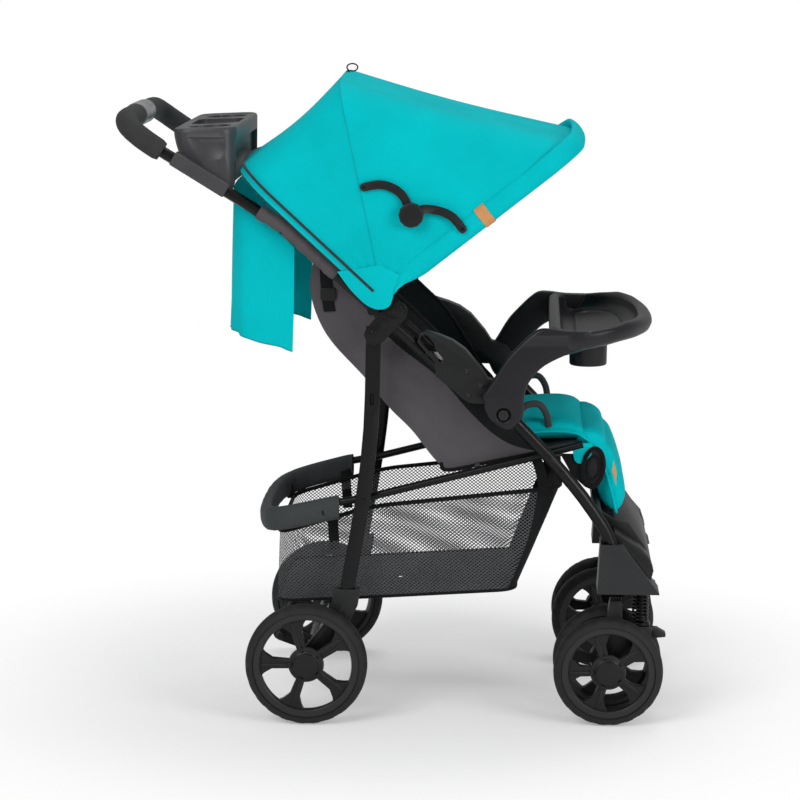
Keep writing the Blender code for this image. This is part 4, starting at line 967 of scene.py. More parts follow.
class PUSHCHAIR_OT_wheels(bpy.types.Operator):
    """Make the tyres, the five-spoke rims and the suspension springs."""

    bl_idname = "pushchair.wheels"
    bl_label = "Make wheels and springs"

    spokes = 5
    first_spoke = math.radians(34)

    def execute(self, context):
        for side, sign in SIDES:
            y = sign * REAR_WHEEL_Y
            self.wheel("rear_wheel_" + side, REAR_AXLE, y, sign, REAR_AXLE[1], 0.0056,
                       "rear_wheel_" + side, ("rear_tyre_" + side,), ("rear_rim_" + side,))
            for row, away in (("outer", 1), ("inner", -1)):
                name = "front_wheel_" + side + "_" + row
                y = sign * (CASTOR_Y + away * TWIN_SPREAD / 2)
                self.wheel(name, FRONT_AXLE, y, sign * away, FRONT_AXLE[1], 0.0046, name,
                           (name,), ())
            self.spring(side, sign)
        return {"FINISHED"}

    def spoke_angles(self):
        """Angles of the spokes round the axle."""
        return [self.first_spoke + turn for turn in circle(self.spokes)]

    def wheel(self, name, centre, y, face, radius, bore, body, tyre_nodes, rim_nodes):
        """One wheel: tyre with notched shoulders, rim, spokes, hub cap and bolts."""
        tyre = self.tyre(name, centre, y, radius)
        place(tyre, body, "eva_tyre", "tyre", *tyre_nodes)
        rim_radius = radius - 0.0126
        parts = [self.rim(name, centre, y, face, rim_radius, bore)]
        for angle in self.spoke_angles():
            parts += self.spoke(name, centre, y, face, rim_radius, angle)
        parts.append(disc(name + "_cap", centre, 0.0186, y + face * 0.0120,
                          y + face * 0.0186, 0.0010, 48))
        whole = joined(name + "_rim", parts)
        place(whole, body, "wheel_nylon", "black_plastic", *rim_nodes)

    def tyre(self, name, centre, y, radius):
        """Solid tyre with a rounded tread and short notches across both shoulders."""
        half = 0.0176
        depth = 0.0130
        crown = [(radius - 0.0006 - 0.0110 * (share / 10) ** 4 - 0.0004 * (share / 10) ** 2,
                  half * share / 10) for share in range(-10, 11, 2)]
        inner = [(radius - depth, half * 0.78), (radius - depth, -half * 0.78)]
        item = turned(name + "_tyre", crown + inner, centre, y, 120)
        axis = from_axle(centre[0], y, centre[1])
        notches = 24
        for vertex in item.data.vertices:
            out = Vector((vertex.co.x - axis.x, 0, vertex.co.z - axis.z))
            share = (math.atan2(out.z, out.x) / math.tau * notches
                     + (0.25 if vertex.co.y > axis.y else 0.0)) % 1.0
            shoulder = half * 0.35 < abs(vertex.co.y - axis.y) < half * 0.9
            if shoulder and share < 0.24 and out.length > radius - depth * 0.6:
                vertex.co -= out.normalized() * 0.0015
        return item

    def rim(self, name, centre, y, face, radius, bore):
        """Rim channel with a raised bead and the hub with its ring of bosses."""
        lip = 0.0135
        channel = turned(name + "_channel", [
            (radius - 0.0105, -0.0045), (radius - 0.0065, -lip), (radius - 0.0008, -lip),
            (radius, -lip + 0.0010), (radius, lip - 0.0010), (radius - 0.0008, lip),
            (radius - 0.0095, lip), (radius - 0.0110, lip - 0.0012), (radius - 0.0125, 0.0060)],
            centre, y, 96)
        hub = turned(name + "_hub", [
            (bore, -0.0172), (0.0165, -0.0172), (0.0180, -0.0160), (0.0205, -0.0040),
            (0.0255, -0.0030), (0.0278, 0.0060), (0.0268, 0.0100), (0.0200, 0.0118),
            (0.0160, 0.0150), (0.0150, 0.0160), (bore, 0.0160)], centre, y, 60)
        items = [channel, hub]
        if face < 0:
            for item in items:
                item.data.transform(Matrix.Translation((0, y, 0))
                                    @ Matrix.Diagonal((1, -1, 1, 1))
                                    @ Matrix.Translation((0, -y, 0)))
                outward(item)
        for angle in self.spoke_angles():
            bolt = (centre[0] + 0.0248 * math.cos(angle), centre[1] + 0.0248 * math.sin(angle))
            items.append(disc(name + "_bolt", bolt, 0.0034, y + face * 0.0055,
                              y + face * 0.0138, 0.0009, 16))
        return joined(name + "_hub_and_channel", items)

    def spoke(self, name, centre, y, face, radius, angle):
        """Spoke that flares to the rim, with a raised ridge along one side."""
        def turned_points(points):
            cos, sin = math.cos(angle), math.sin(angle)
            return [(centre[0] + r * cos - s * sin, centre[1] + r * sin + s * cos)
                    for r, s in points]

        flare = radius - 0.0100
        outline = [(0.020, -0.0066), (flare - 0.020, -0.0082), (flare - 0.009, -0.0150),
                   (flare + 0.001, -0.0255), (flare + 0.004, -0.0120), (flare + 0.0045, 0.0),
                   (flare + 0.004, 0.0120), (flare + 0.001, 0.0255), (flare - 0.009, 0.0150),
                   (flare - 0.020, 0.0082), (0.020, 0.0066)]
        ridge = [(0.024, 0.0005), (flare - 0.012, 0.0005), (flare - 0.002, 0.0030),
                 (flare - 0.012, 0.0062), (0.024, 0.0052)]
        return [rounded_plate(name + part, turned_points(shape), y + face * start,
                              y + face * end, 0.0012)
                for part, shape, start, end in (("_spoke", outline, -0.0040, 0.0092),
                                                ("_ridge", ridge, 0.0080, 0.0116))]

    def spring(self, side, sign):
        """Coil spring round the kingpin."""
        turns, steps = 8, 24
        low, high = 0.1584, 0.2040
        coil = []
        for i in range(turns * steps + 1):
            angle = math.tau * i / steps
            coil.append((KINGPIN_X + 0.0115 * math.cos(angle),
                         sign * CASTOR_Y + sign * 0.0115 * math.sin(angle),
                         low + (high - low) * i / (turns * steps)))
        spring = tube("spring_coil_" + side, in_frame(coil), 0.0018, 10)
        place(spring, "front_frame", "powder_coated_tube", "black_paint",
              "suspension_spring_" + side)
        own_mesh(spring)


# Child tray

class PUSHCHAIR_OT_child_tray(bpy.types.Operator):
    """Make the dished play tray with its cup well and its two arms."""

    bl_idname = "pushchair.child_tray"
    bl_label = "Make child tray"

    around = 120
    bottom = [(0.372, 0.569), (0.400, 0.582), (0.4266, 0.5895), (0.4549, 0.5935),
              (0.4819, 0.5975), (0.5239, 0.5974), (0.5330, 0.5990)]
    top = [(0.372, 0.619), (0.4033, 0.6165), (0.434, 0.6165), (0.4655, 0.621),
           (0.487, 0.625), (0.506, 0.6240), (0.524, 0.6195), (0.5330, 0.6165)]
    floor = [(0.365, 0.5765), (0.400, 0.5885), (0.4266, 0.5940), (0.4549, 0.5980),
             (0.4819, 0.6010), (0.5180, 0.6020), (0.5330, 0.6030)]

    def execute(self, context):
        parts = [self.shell(), self.cup(), *(self.arm(side, sign) for side, sign in SIDES)]
        tray = joined("child_tray_moulding", parts)
        place(tray, "child_tray", "satin_polypropylene", "tray_plastic", "child_tray")
        return {"FINISHED"}

    def height(self, line, x):
        """Height of a side-view line at x."""
        x = min(max(x, line[0][0]), line[-1][0])
        for (x0, z0), (x1, z1) in zip(line, line[1:]):
            if x <= x1:
                t = (x - x0) / (x1 - x0)
                t = t * t * (3 - 2 * t) * 0.4 + t * 0.6
                return z0 + (z1 - z0) * t
        return line[-1][1]

    def outline(self, half):
        """Even closed outline from half of a plan, started at the back's middle."""
        right = [(half[0][0], 0.0), *half]
        left = [(x, -y) for x, y in half[::-1]]
        return resample(rounded_loop(right + left, 0.040, 8), self.around, closed=True)

    def inset(self, loop, distance):
        """Outline moved inwards by a distance."""
        count = len(loop)
        moved = []
        for i in range(count):
            ax, ay = loop[i - 3]
            bx, by = loop[(i + 3) % count]
            dx, dy = bx - ax, by - ay
            size = math.hypot(dx, dy) or 1.0
            moved.append((loop[i][0] - dy / size * distance, loop[i][1] + dx / size * distance))
        return moved

    def shell(self):
        """Tray shell: a rolled rim round a deep dished floor with a raised ring."""
        outer = self.outline([(0.372, -0.2312), (0.440, -0.2312), (0.490, -0.196),
                              (0.520, -0.130), (0.533, -0.050)])
        inner = self.outline([(0.389, -0.2195), (0.436, -0.2195), (0.476, -0.184),
                              (0.501, -0.121), (0.510, -0.048)])
        rows = []

        def ring(loop, line, lift):
            rows.append([tuple(from_axle(x, y, self.height(line, x) + lift)) for x, y in loop])

        centre = (0.452, 0.0)
        ring([lerp(centre, p, 0.3) for p in outer], self.bottom, -0.0060)
        for distance, lift in ((0.030, -0.0050), (0.008, 0.0), (0.0022, 0.0030), (0.0, 0.0070)):
            ring(self.inset(outer, distance), self.bottom, lift)
        roll = 0.0075
        for k in range(11):
            turn = math.pi * k / 10
            loop = [lerp(p, q, (1 - math.cos(turn)) / 2) for p, q in zip(outer, inner)]
            ring(loop, self.top, roll * (math.sin(turn) - 1))
        middle_x, half_x, half_y = 0.4495, 0.0605, 0.2195
        for distance, lift in ((0.0012, 0.0060), (0.0050, 0.0), (0.0110, -0.0035),
                               (0.0190, -0.0048), (0.0240, -0.0048), (0.0254, -0.0036),
                               (0.0280, -0.0036), (0.0296, -0.0050), (0.0450, -0.0055)):
            loop = [(middle_x + (x - middle_x) * (1 - distance / half_x),
                     y * (1 - distance / half_y)) for x, y in inner]
            ring(loop, self.floor, lift)
        shell = grid_sheet("tray_shell", rows, closed=True)
        close_ends(shell, self.around)
        return soften(outward(shell), 60)

    def cup(self):
        """Cup well: a raised lip in the dish and a round wall that hangs below it."""
        top = self.height(self.floor, TRAY_CUP[0]) - 0.0026
        profile = [(0.0, 0.547), (0.0272, 0.547), (0.0284, 0.5478), (0.0290, 0.5495),
                   (0.0296, top - 0.0030), (0.0312, top - 0.0012), (0.0300, top),
                   (0.0276, top), (0.0264, top - 0.0014), (0.0240, top - 0.0026),
                   (0.0, top - 0.0028)]
        rows = [[tuple(from_axle(TRAY_CUP[0] + r * math.cos(a), TRAY_CUP[1] + r * math.sin(a), z))
                 for a in circle(48)] for r, z in profile]
        return soften(outward(grid_sheet("tray_cup", rows, closed=True)), 40)

    def arm(self, side, sign):
        """Curved arm that grips the hinge housing, with the hole for its button."""
        outline = smooth_path([
            (0.2704, 0.5154), (0.2725, 0.5085), (0.2740, 0.4962), (0.2817, 0.4809),
            (0.2968, 0.4688), (0.3105, 0.4650), (0.3225, 0.4736), (0.3315, 0.4875),
            (0.3328, 0.5074), (0.3357, 0.5274), (0.3446, 0.5442), (0.3640, 0.5640),
            (0.4000, 0.5820), (0.4250, 0.5910)], 4)
        outline += smooth_path([
            (0.4350, 0.6165), (0.4000, 0.6170), (0.3725, 0.6200), (0.3560, 0.6195),
            (0.3426, 0.6113), (0.3262, 0.5959), (0.3053, 0.5729), (0.2866, 0.5423),
            (0.2730, 0.5220)], 4)
        hole = [(0.3020 + 0.0086 * math.cos(a), 0.4880 + 0.0086 * math.sin(a))
                for a in circle(24)]
        arm = rounded_plate("tray_arm_" + side, outline, sign * 0.2165, sign * 0.2322, 0.0056,
                            [hole])
        for vertex in arm.data.vertices:
            share = min(max((vertex.co.x - AXLE_SHIFT - 0.372) / 0.055, 0.0), 1.0)
            vertex.co.y *= 1 - 0.012 * share
        return arm


# Canopy

def bow_section(reach, stand_off, start):
    """Half-hoop of a bow as (y, distance from the pivot), evenly spread."""
    corner, crown = 0.070, 0.005
    half = BOW_Y + stand_off
    top = reach + stand_off
    flank = top - crown - corner
    right = [(-half, start)]
    for k in range(13):
        turn = math.pi / 2 * k / 12
        right.append((-half + corner * (1 - math.cos(turn)), flank + corner * math.sin(turn)))
    inner = half - corner
    for k in range(1, 6):
        share = 1 - k / 6
        right.append((-inner * share, top - crown * share * share))
    left = [(-y, r) for y, r in reversed(right)]
    return resample(right + [(0.0, top)] + left, BOW_STEPS)


def bow_points(bow, ahead=0.0, stand_off=0.0048, start=0.0150):
    """Points of a bow's hoop, moved square to its plane by a distance."""
    angle, reach = bow
    cos, sin = math.cos(angle), math.sin(angle)
    return [(CANOPY_PIVOT[0] + r * cos + ahead * sin, y, CANOPY_PIVOT[1] + r * sin - ahead * cos)
            for y, r in bow_section(reach, stand_off, start)]


class PUSHCHAIR_OT_canopy(bpy.types.Operator):
    """Make the canopy's panels, bows, piping, seams, front roll, lobes, tag and cord loop."""

    bl_idname = "pushchair.canopy"
    bl_label = "Make canopy"

    def execute(self, context):
        sizes = context.scene.pushchair_sizes
        rear = self.panel_rows(REAR_BOW, MID_BOW, 14, sizes.sag * 1.3)
        edge = bow_points(REAR_BOW, -0.012, 0.0035)
        self.panel("canopy_rear_panel", [edge] + rear, "handle_frame", "canopy_middle",
                   math.radians(29.6), 0.07, sizes)
        front = self.panel_rows(MID_BOW, FRONT_BOW, 24, sizes.sag)
        front += [self.hem(ahead, off) for ahead, off in (
            (0.0036, 0.0044), (0.0062, 0.0030), (0.0074, 0.0), (0.0060, -0.0030))]
        panel = self.panel("canopy_front_panel", front, "canopy_middle", "canopy_front",
                           math.radians(-20), 0.12, sizes)
        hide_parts("canopy_cloth")
        self.bows()
        self.piping(sizes)
        self.roll()
        self.lobes()
        self.trim()
        return {"FINISHED"}

    def panel_rows(self, one, two, steps, sag):
        """Rows of cloth between two bows, a little slack between them."""
        start, end = bow_points(one), bow_points(two)
        rows = []
        for k in range(steps + 1):
            t = k / steps
            row = []
            for a, b in zip(start, end):
                x, y, z = lerp(a, b, t)
                away = Vector((x - CANOPY_PIVOT[0], 0, z - CANOPY_PIVOT[1]))
                reach = away.length
                slack = sag * math.sin(math.pi * t) * min(reach / 0.25, 1.0)
                pleat = 0.0012 * math.sin(t * 19.0) * math.exp(-(reach / 0.09) ** 2)
                side = 1 if y > 0 else -1
                flank = min(max((abs(y) - 0.15) / 0.06, 0.0), 1.0)
                away.normalize()
                row.append((x - away.x * slack * (1 - flank), y - side * flank * slack * 0.6
                            + side * pleat, z - away.z * slack * (1 - flank)))
            rows.append(row)
        return rows

    def hem(self, ahead, stand_off):
        """Row of the front hem, cut back near the pivot."""
        row = []
        angle = FRONT_BOW[0]
        for x, y, z in bow_points(FRONT_BOW, ahead, stand_off):
            reach = math.hypot(x - CANOPY_PIVOT[0], z - CANOPY_PIVOT[1])
            back = 0.009 * math.exp(-((reach - 0.045) / 0.03) ** 2)
            row.append((x - back * math.sin(angle), y, z + back * math.cos(angle)))
        return row

    def panel(self, name, rows, rear_body, front_body, heading, reach, sizes):
        """Cloth panel between two bows, given thickness and the canopy cloth."""
        rows = [in_frame(row) for row in rows]
        item = grid_sheet(name, rows)
        modify(item, "SOLIDIFY", thickness=sizes.cloth, offset=0.0, use_rim=True)
        soften(item, 60)
        item.data.materials.append(FINISH["polyester_canopy"])
        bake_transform(item)
        return item

    def bows(self):
        """Sprung wire bows inside the cloth."""
        for name, bow in (("canopy_middle", MID_BOW), ("canopy_front", FRONT_BOW)):
            path = in_frame(bow_points(bow, 0.0, 0.0, 0.0155))
            wire = tube(name + "_wire", path, 0.002, 10)
            place(wire, name, "powder_coated_tube", "black_paint", name + "_bow")

    def piping(self, sizes):
        """Piping and stitched seams along the bows."""
        for name, bow, ahead, off, radius, body, finish in (
                ("canopy_edge_piping", REAR_BOW, -0.0125, 0.0035, sizes.piping * 0.7,
                 "handle_frame", "sewn_piping"),
                ("canopy_bow_piping", REAR_BOW, -0.0010, 0.0068, sizes.piping * 1.3,
                 "handle_frame", "sewn_piping"),
                ("canopy_mid_seam", MID_BOW, 0.0, 0.0054, 0.0006, "canopy_middle",
                 "sewn_thread")):
            path = in_frame(bow_points(bow, ahead, off, 0.020))
            seam = tube(name, path, radius, 8)
            place(seam, body, finish, "teal_cloth")

    def roll_rings(self, path, grow, turns):
        """Flattened rings round the front bow, wide along the cloth."""
        angle = FRONT_BOW[0]
        ahead = Vector((math.sin(angle), 0, -math.cos(angle)))
        rings = []
        last = len(path) - 1
        for i, point in enumerate(path):
            out = flow_at(path, i).cross(ahead).normalized()
            if out.dot(Vector(point) - from_axle(CANOPY_PIVOT[0], 0, 0.75)) < 0:
                out = -out
            thin = math.sqrt(min(1.0, min(i, last - i) / 5 + 0.06)) if grow == 0 else 1.0
            rings.append([tuple(Vector(point) - ahead * 0.0075
                                + ahead * (0.0155 + grow) * thin * math.cos(turn)
                                + out * (0.0062 + grow) * thin * math.sin(turn))
                          for turn in turns])
        return rings

    def roll(self):
        """Padded roll along the canopy's front edge, with its sewn tag."""
        path = resample(in_frame(bow_points(FRONT_BOW, 0.0, 0.0030, 0.030)), 121)
        around = 28
        rings = self.roll_rings(path, 0, circle(around))
        roll = grid_sheet("canopy_front_roll", rings, closed=True)
        close_ends(roll, around)
        outward(roll)
        soften(roll, 60)
        place(roll, "canopy_front", "polyester_canopy", "teal_cloth")
        start = from_axle(CANOPY_PIVOT[0], -BOW_Y, CANOPY_PIVOT[1])
        near = [p for p in path if p[1] < 0 and 0.186 < math.dist(p, start) < 0.208]
        half_turn = [math.pi * k / 16 for k in range(-1, 18)]
        rings = self.roll_rings(near, 0.0009, half_turn)
        tag = grid_sheet("canopy_tag", rings)
        modify(tag, "SOLIDIFY", thickness=0.0010, offset=0.0)
        soften(tag, 60)
        place(tag, "canopy_front", "leather_look_tag", "teal_cloth")

    def lobes(self):
        """Rounded cloth lobes that cover the canopy's hubs."""
        outline = smooth_path([(0.0500, 0.7040), (0.0700, 0.6770), (0.0930, 0.6545),
                               (0.1110, 0.6470), (0.1270, 0.6505), (0.1335, 0.6631),
                               (0.1359, 0.6801), (0.1450, 0.6990)], 5)
        outline += [(0.1150, 0.7150)]
        for side, sign in SIDES:
            lobe = rounded_plate("canopy_lobe_" + side, outline, sign * 0.2204, sign * 0.2222,
                                 0.0008)
            place(lobe, "handle_frame", "polyester_pad_cloth", "teal_cloth")

    def trim(self):
        """Small cord loop at the canopy's top."""
        foot = from_axle(*bow_points(MID_BOW, 0.0, 0.0052)[BOW_STEPS // 2])
        loop = []
        for k in range(25):
            angle = math.pi * (1.25 - 1.9 * k / 24)
            loop.append(foot + Vector((0.010 + 0.0085 * math.cos(angle), 0.0,
                                       0.0072 + 0.0058 * math.sin(angle))))
        path = [tuple(p) for p in (foot, *loop, foot + Vector((0.004, 0, 0)))]
        path = resample(smooth_path(path, 4), 60)
        cord = tube("canopy_cord_loop", path, 0.0011, 8)
        place(cord, "canopy_middle", "polyester_webbing", "black_cloth")


class PUSHCHAIR_OT_curtain(bpy.types.Operator):
    """Make the cloth flap that hangs behind the seat."""

    bl_idname = "pushchair.curtain"
    bl_label = "Make rear curtain"

    def execute(self, context):
        sizes = context.scene.pushchair_sizes
        half, corner = 0.180, 0.035
        plan = [(-0.018, -half), (-0.075, -half)]
        for k in range(7):
            turn = math.pi / 2 * k / 6
            plan.append((-0.078 - corner * math.sin(turn),
                         -half + corner * (1 - math.cos(turn))))
        plan += [(-0.1155, -0.10), (-0.117, -0.05), (-0.1175, 0.0)]
        plan += [(x, -y) for x, y in plan[-2::-1]]
        plan = resample(plan, 81)
        rows = []
        for k in range(25):
            t = k / 24
            row = []
            for i, (x, y) in enumerate(plan):
                forward = max((x + 0.118) / 0.10, 0.0)
                top = 0.828 - 0.092 * forward
                bottom = 0.606 - 0.030 * forward
                share = min(i, len(plan) - 1 - i) / 40
                fold = t * (0.0042 * math.sin(share * 21.0)
                            + 0.0018 * math.sin(share * 47.0 + 1.0 + 2.0 * t))
                row.append(tuple(from_axle(x + fold - 0.004 * t, y * (1 - abs(fold)),
                                           top + (bottom - top) * t)))
            rows.append(row)
        curtain = grid_sheet("rear_curtain_cloth", rows)
        modify(curtain, "SOLIDIFY", thickness=sizes.cloth, offset=0.0)
        soften(curtain, 60)
        place(curtain, "handle_frame", "polyester_canopy", "teal_cloth", "rear_curtain")
        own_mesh(curtain)
        for name, row, radius in (("curtain_hem", 24, 0.0013), ("curtain_stitches", 22, 0.0005)):
            hem = tube(name, rows[row], radius, 8)
            place(hem, "handle_frame", "sewn_thread", "teal_cloth")
            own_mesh(hem)
        return {"FINISHED"}


# Pads

def on_back(up, out):
    """Side-view point up the backrest and out from its board."""
    cos, sin = math.cos(BACK_ANGLE), math.sin(BACK_ANGLE)
    return (RECLINE_PIVOT[0] + up * cos + out * sin,
            RECLINE_PIVOT[1] + up * sin - out * cos)


def pad_shape(name, path, half_width, thickness, channels):
    """Crowned pad along a side-view path, with sewn channels across its top."""
    long_cells, wide_cells = 44, 36
    line = resample(path, long_cells + 1)
    rows = {1: [], -1: []}
    for face in (1, -1):
        for i, (x, z) in enumerate(line):
            share = i / long_cells
            heading = heading_at(line, i)
            row = []
            for j in range(wide_cells + 1):
                across = 2 * j / wide_cells - 1
                body = (1 - abs(2 * share - 1) ** 6) * (1 - abs(across) ** 9)
                height = thickness / 2 * math.sqrt(max(body, 0.0))
                if face > 0:
                    for channel in channels:
                        height -= thickness * 0.16 * body * math.exp(
                            -((share - channel) / 0.035) ** 2)
                narrow = 1 - 0.02 * 4 * share * (1 - share)
                row.append(tuple(from_axle(x - math.sin(heading) * height * face,
                                           across * half_width * narrow,
                                           z + math.cos(heading) * height * face)))
            rows[face].append(row)
    top = grid_sheet(name, rows[1])
    under = grid_sheet(name + "_under", rows[-1])
    return outward(joined(name, [top, under]))


def fill_with_air(item, most):
    """Swell a pad with cloth under pressure, and hold each point within a distance."""
    modify(item, "REMESH", mode="VOXEL", voxel_size=0.0052, use_smooth_shade=True)
    before = [vertex.co.copy() for vertex in item.data.vertices]
    only(item)
    air = item.modifiers.new("air", "CLOTH")
    air.settings.use_pressure = True
    air.settings.uniform_pressure_force = 4.0
    air.settings.quality = 4
    air.settings.effector_weights.gravity = 0.0
    scene = bpy.context.scene
    last_frame = 20
    for frame_number in range(1, last_frame + 1):
        scene.frame_set(frame_number)
    bpy.ops.object.modifier_apply(modifier="air")
    scene.frame_set(1)
    for vertex, rest in zip(item.data.vertices, before):
        step = vertex.co - rest
        if step.length > most:
            vertex.co = rest + step.normalized() * most


class PUSHCHAIR_OT_seat_pads(bpy.types.Operator):
    """Make the seat cushion, the backrest and leg rest pads, and their piping and flaps."""

    bl_idname = "pushchair.seat_pads"
    bl_label = "Make seat pads"

    def execute(self, context):
        sizes = context.scene.pushchair_sizes
        seat = smooth_path([(0.236, 0.427), (0.300, 0.4400), (0.360, 0.4475), (0.405, 0.4480),
                            (0.430, 0.4410)], 5)
        back = [on_back(d, 0.0205) for d in (0.398, 0.31, 0.22, 0.14, 0.064)]
        leg = smooth_path([(0.4130, 0.4460), (0.4290, 0.4380), (0.4430, 0.4220),
                           (0.4560, 0.3970), (0.4680, 0.3600), (0.4775, 0.3190)], 5)
        for name, path, half, thick, channels, body, node in (
                ("seat_pad", seat, 0.144, 0.030, (0.40,), "seat_frame", "seat_cushion"),
                ("back_pad", back, 0.138, 0.026, (0.25, 0.5, 0.75), "backrest",
                 "backrest_pad"),
                ("leg_pad", leg, 0.143, 0.038, (0.30,), "leg_rest", "leg_rest_pad")):
            pad = pad_shape(name, path, half, thick, channels)
            fill_with_air(pad, sizes.swell)
            modify(pad, "SUBSURF", levels=1, render_levels=1)
            soften(pad, 80)
            place(pad, body, "polyester_pad_cloth", "teal_cloth", node)
            self.piping(name, path, half, body)
        self.flap()
        return {"FINISHED"}

    def piping(self, name, path, half, body):
        """Piping round a pad's rim."""
        last = 29
        right = [(x, -half * (1 - 0.08 * i / last * (1 - i / last)), z)
                 for i, (x, z) in enumerate(resample(path, last + 1))]
        left = [(x, -y, z) for x, y, z in right[::-1]]
        loop = rounded_loop([right[0], *right[1:-1:4], right[-1], left[0], *left[1:-1:4],
                             left[-1]], 0.012, 4)
        rim = tube(name + "_piping", in_frame(loop), 0.0022, 10, cyclic=True)
        place(rim, body, "polyester_pad_cloth", "teal_cloth")

    def flap(self):
        """Side flap, hinge loops, lining and sewn tag of the leg rest, on both sides."""
        hinge_x, hinge_z = 0.4405, 0.3930
        teal = rounded_loop([(0.4080, 0.4300), (0.4400, 0.4320), (0.4370, 0.4090),
                             (0.4200, 0.3970), (0.4100, 0.4040)], 0.008, 5)
        dark = rounded_loop([(0.3890, 0.4140), (0.4300, 0.4140), (0.4400, 0.3700),
                             (0.4310, 0.3590), (0.4080, 0.3800)], 0.005, 4)
        inner = [(hinge_x + 0.0150 * math.cos(a) + 0.004 * math.sin(a),
                  hinge_z + 0.0290 * math.sin(a) - 0.003 * math.cos(a)) for a in circle(32)]
        bare = [(0.4720, 0.4040), (0.4765, 0.3860), (0.4760, 0.3640), (0.4695, 0.3880)]
        for side, sign in SIDES:
            for name, outline, start, end, rim, finish, slot in (
                    ("flap", teal, 0.1480, 0.1500, 0.0009, "polyester_pad_cloth", "teal_cloth"),
                    ("lining", dark, 0.1450, 0.1466, 0.0006, "polyester_lining", "black_cloth"),
                    ("hinge_plate", inner, 0.1470, 0.1492, 0.0008, "glass_filled_nylon",
                     "black_plastic"),
                    ("tag", bare, 0.1462, 0.1476, 0.0004, "leather_look_tag", "teal_cloth")):
                plate = rounded_plate("leg_" + name + "_" + side, outline, sign * start,
                                      sign * end, rim)
                place(plate, "leg_rest", finish, slot)
            for name, share, radius in (("loop", 1.0, 0.0036), ("fold", 0.60, 0.0024)):
                loop = [from_axle(hinge_x + share * (0.0155 * math.cos(a) + 0.004 * math.sin(a)),
                                  sign * (0.1500 + 0.0008 * math.sin(3 * a)),
                                  hinge_z + share * (0.0300 * math.sin(a) - 0.003 * math.cos(a)))
                        for a in circle(48)]
                ring = tube("leg_hinge_" + name + "_" + side, loop, radius, 12, cyclic=True)
                place(ring, "leg_rest", "polyester_webbing", "black_cloth")


# Seat shell and harness

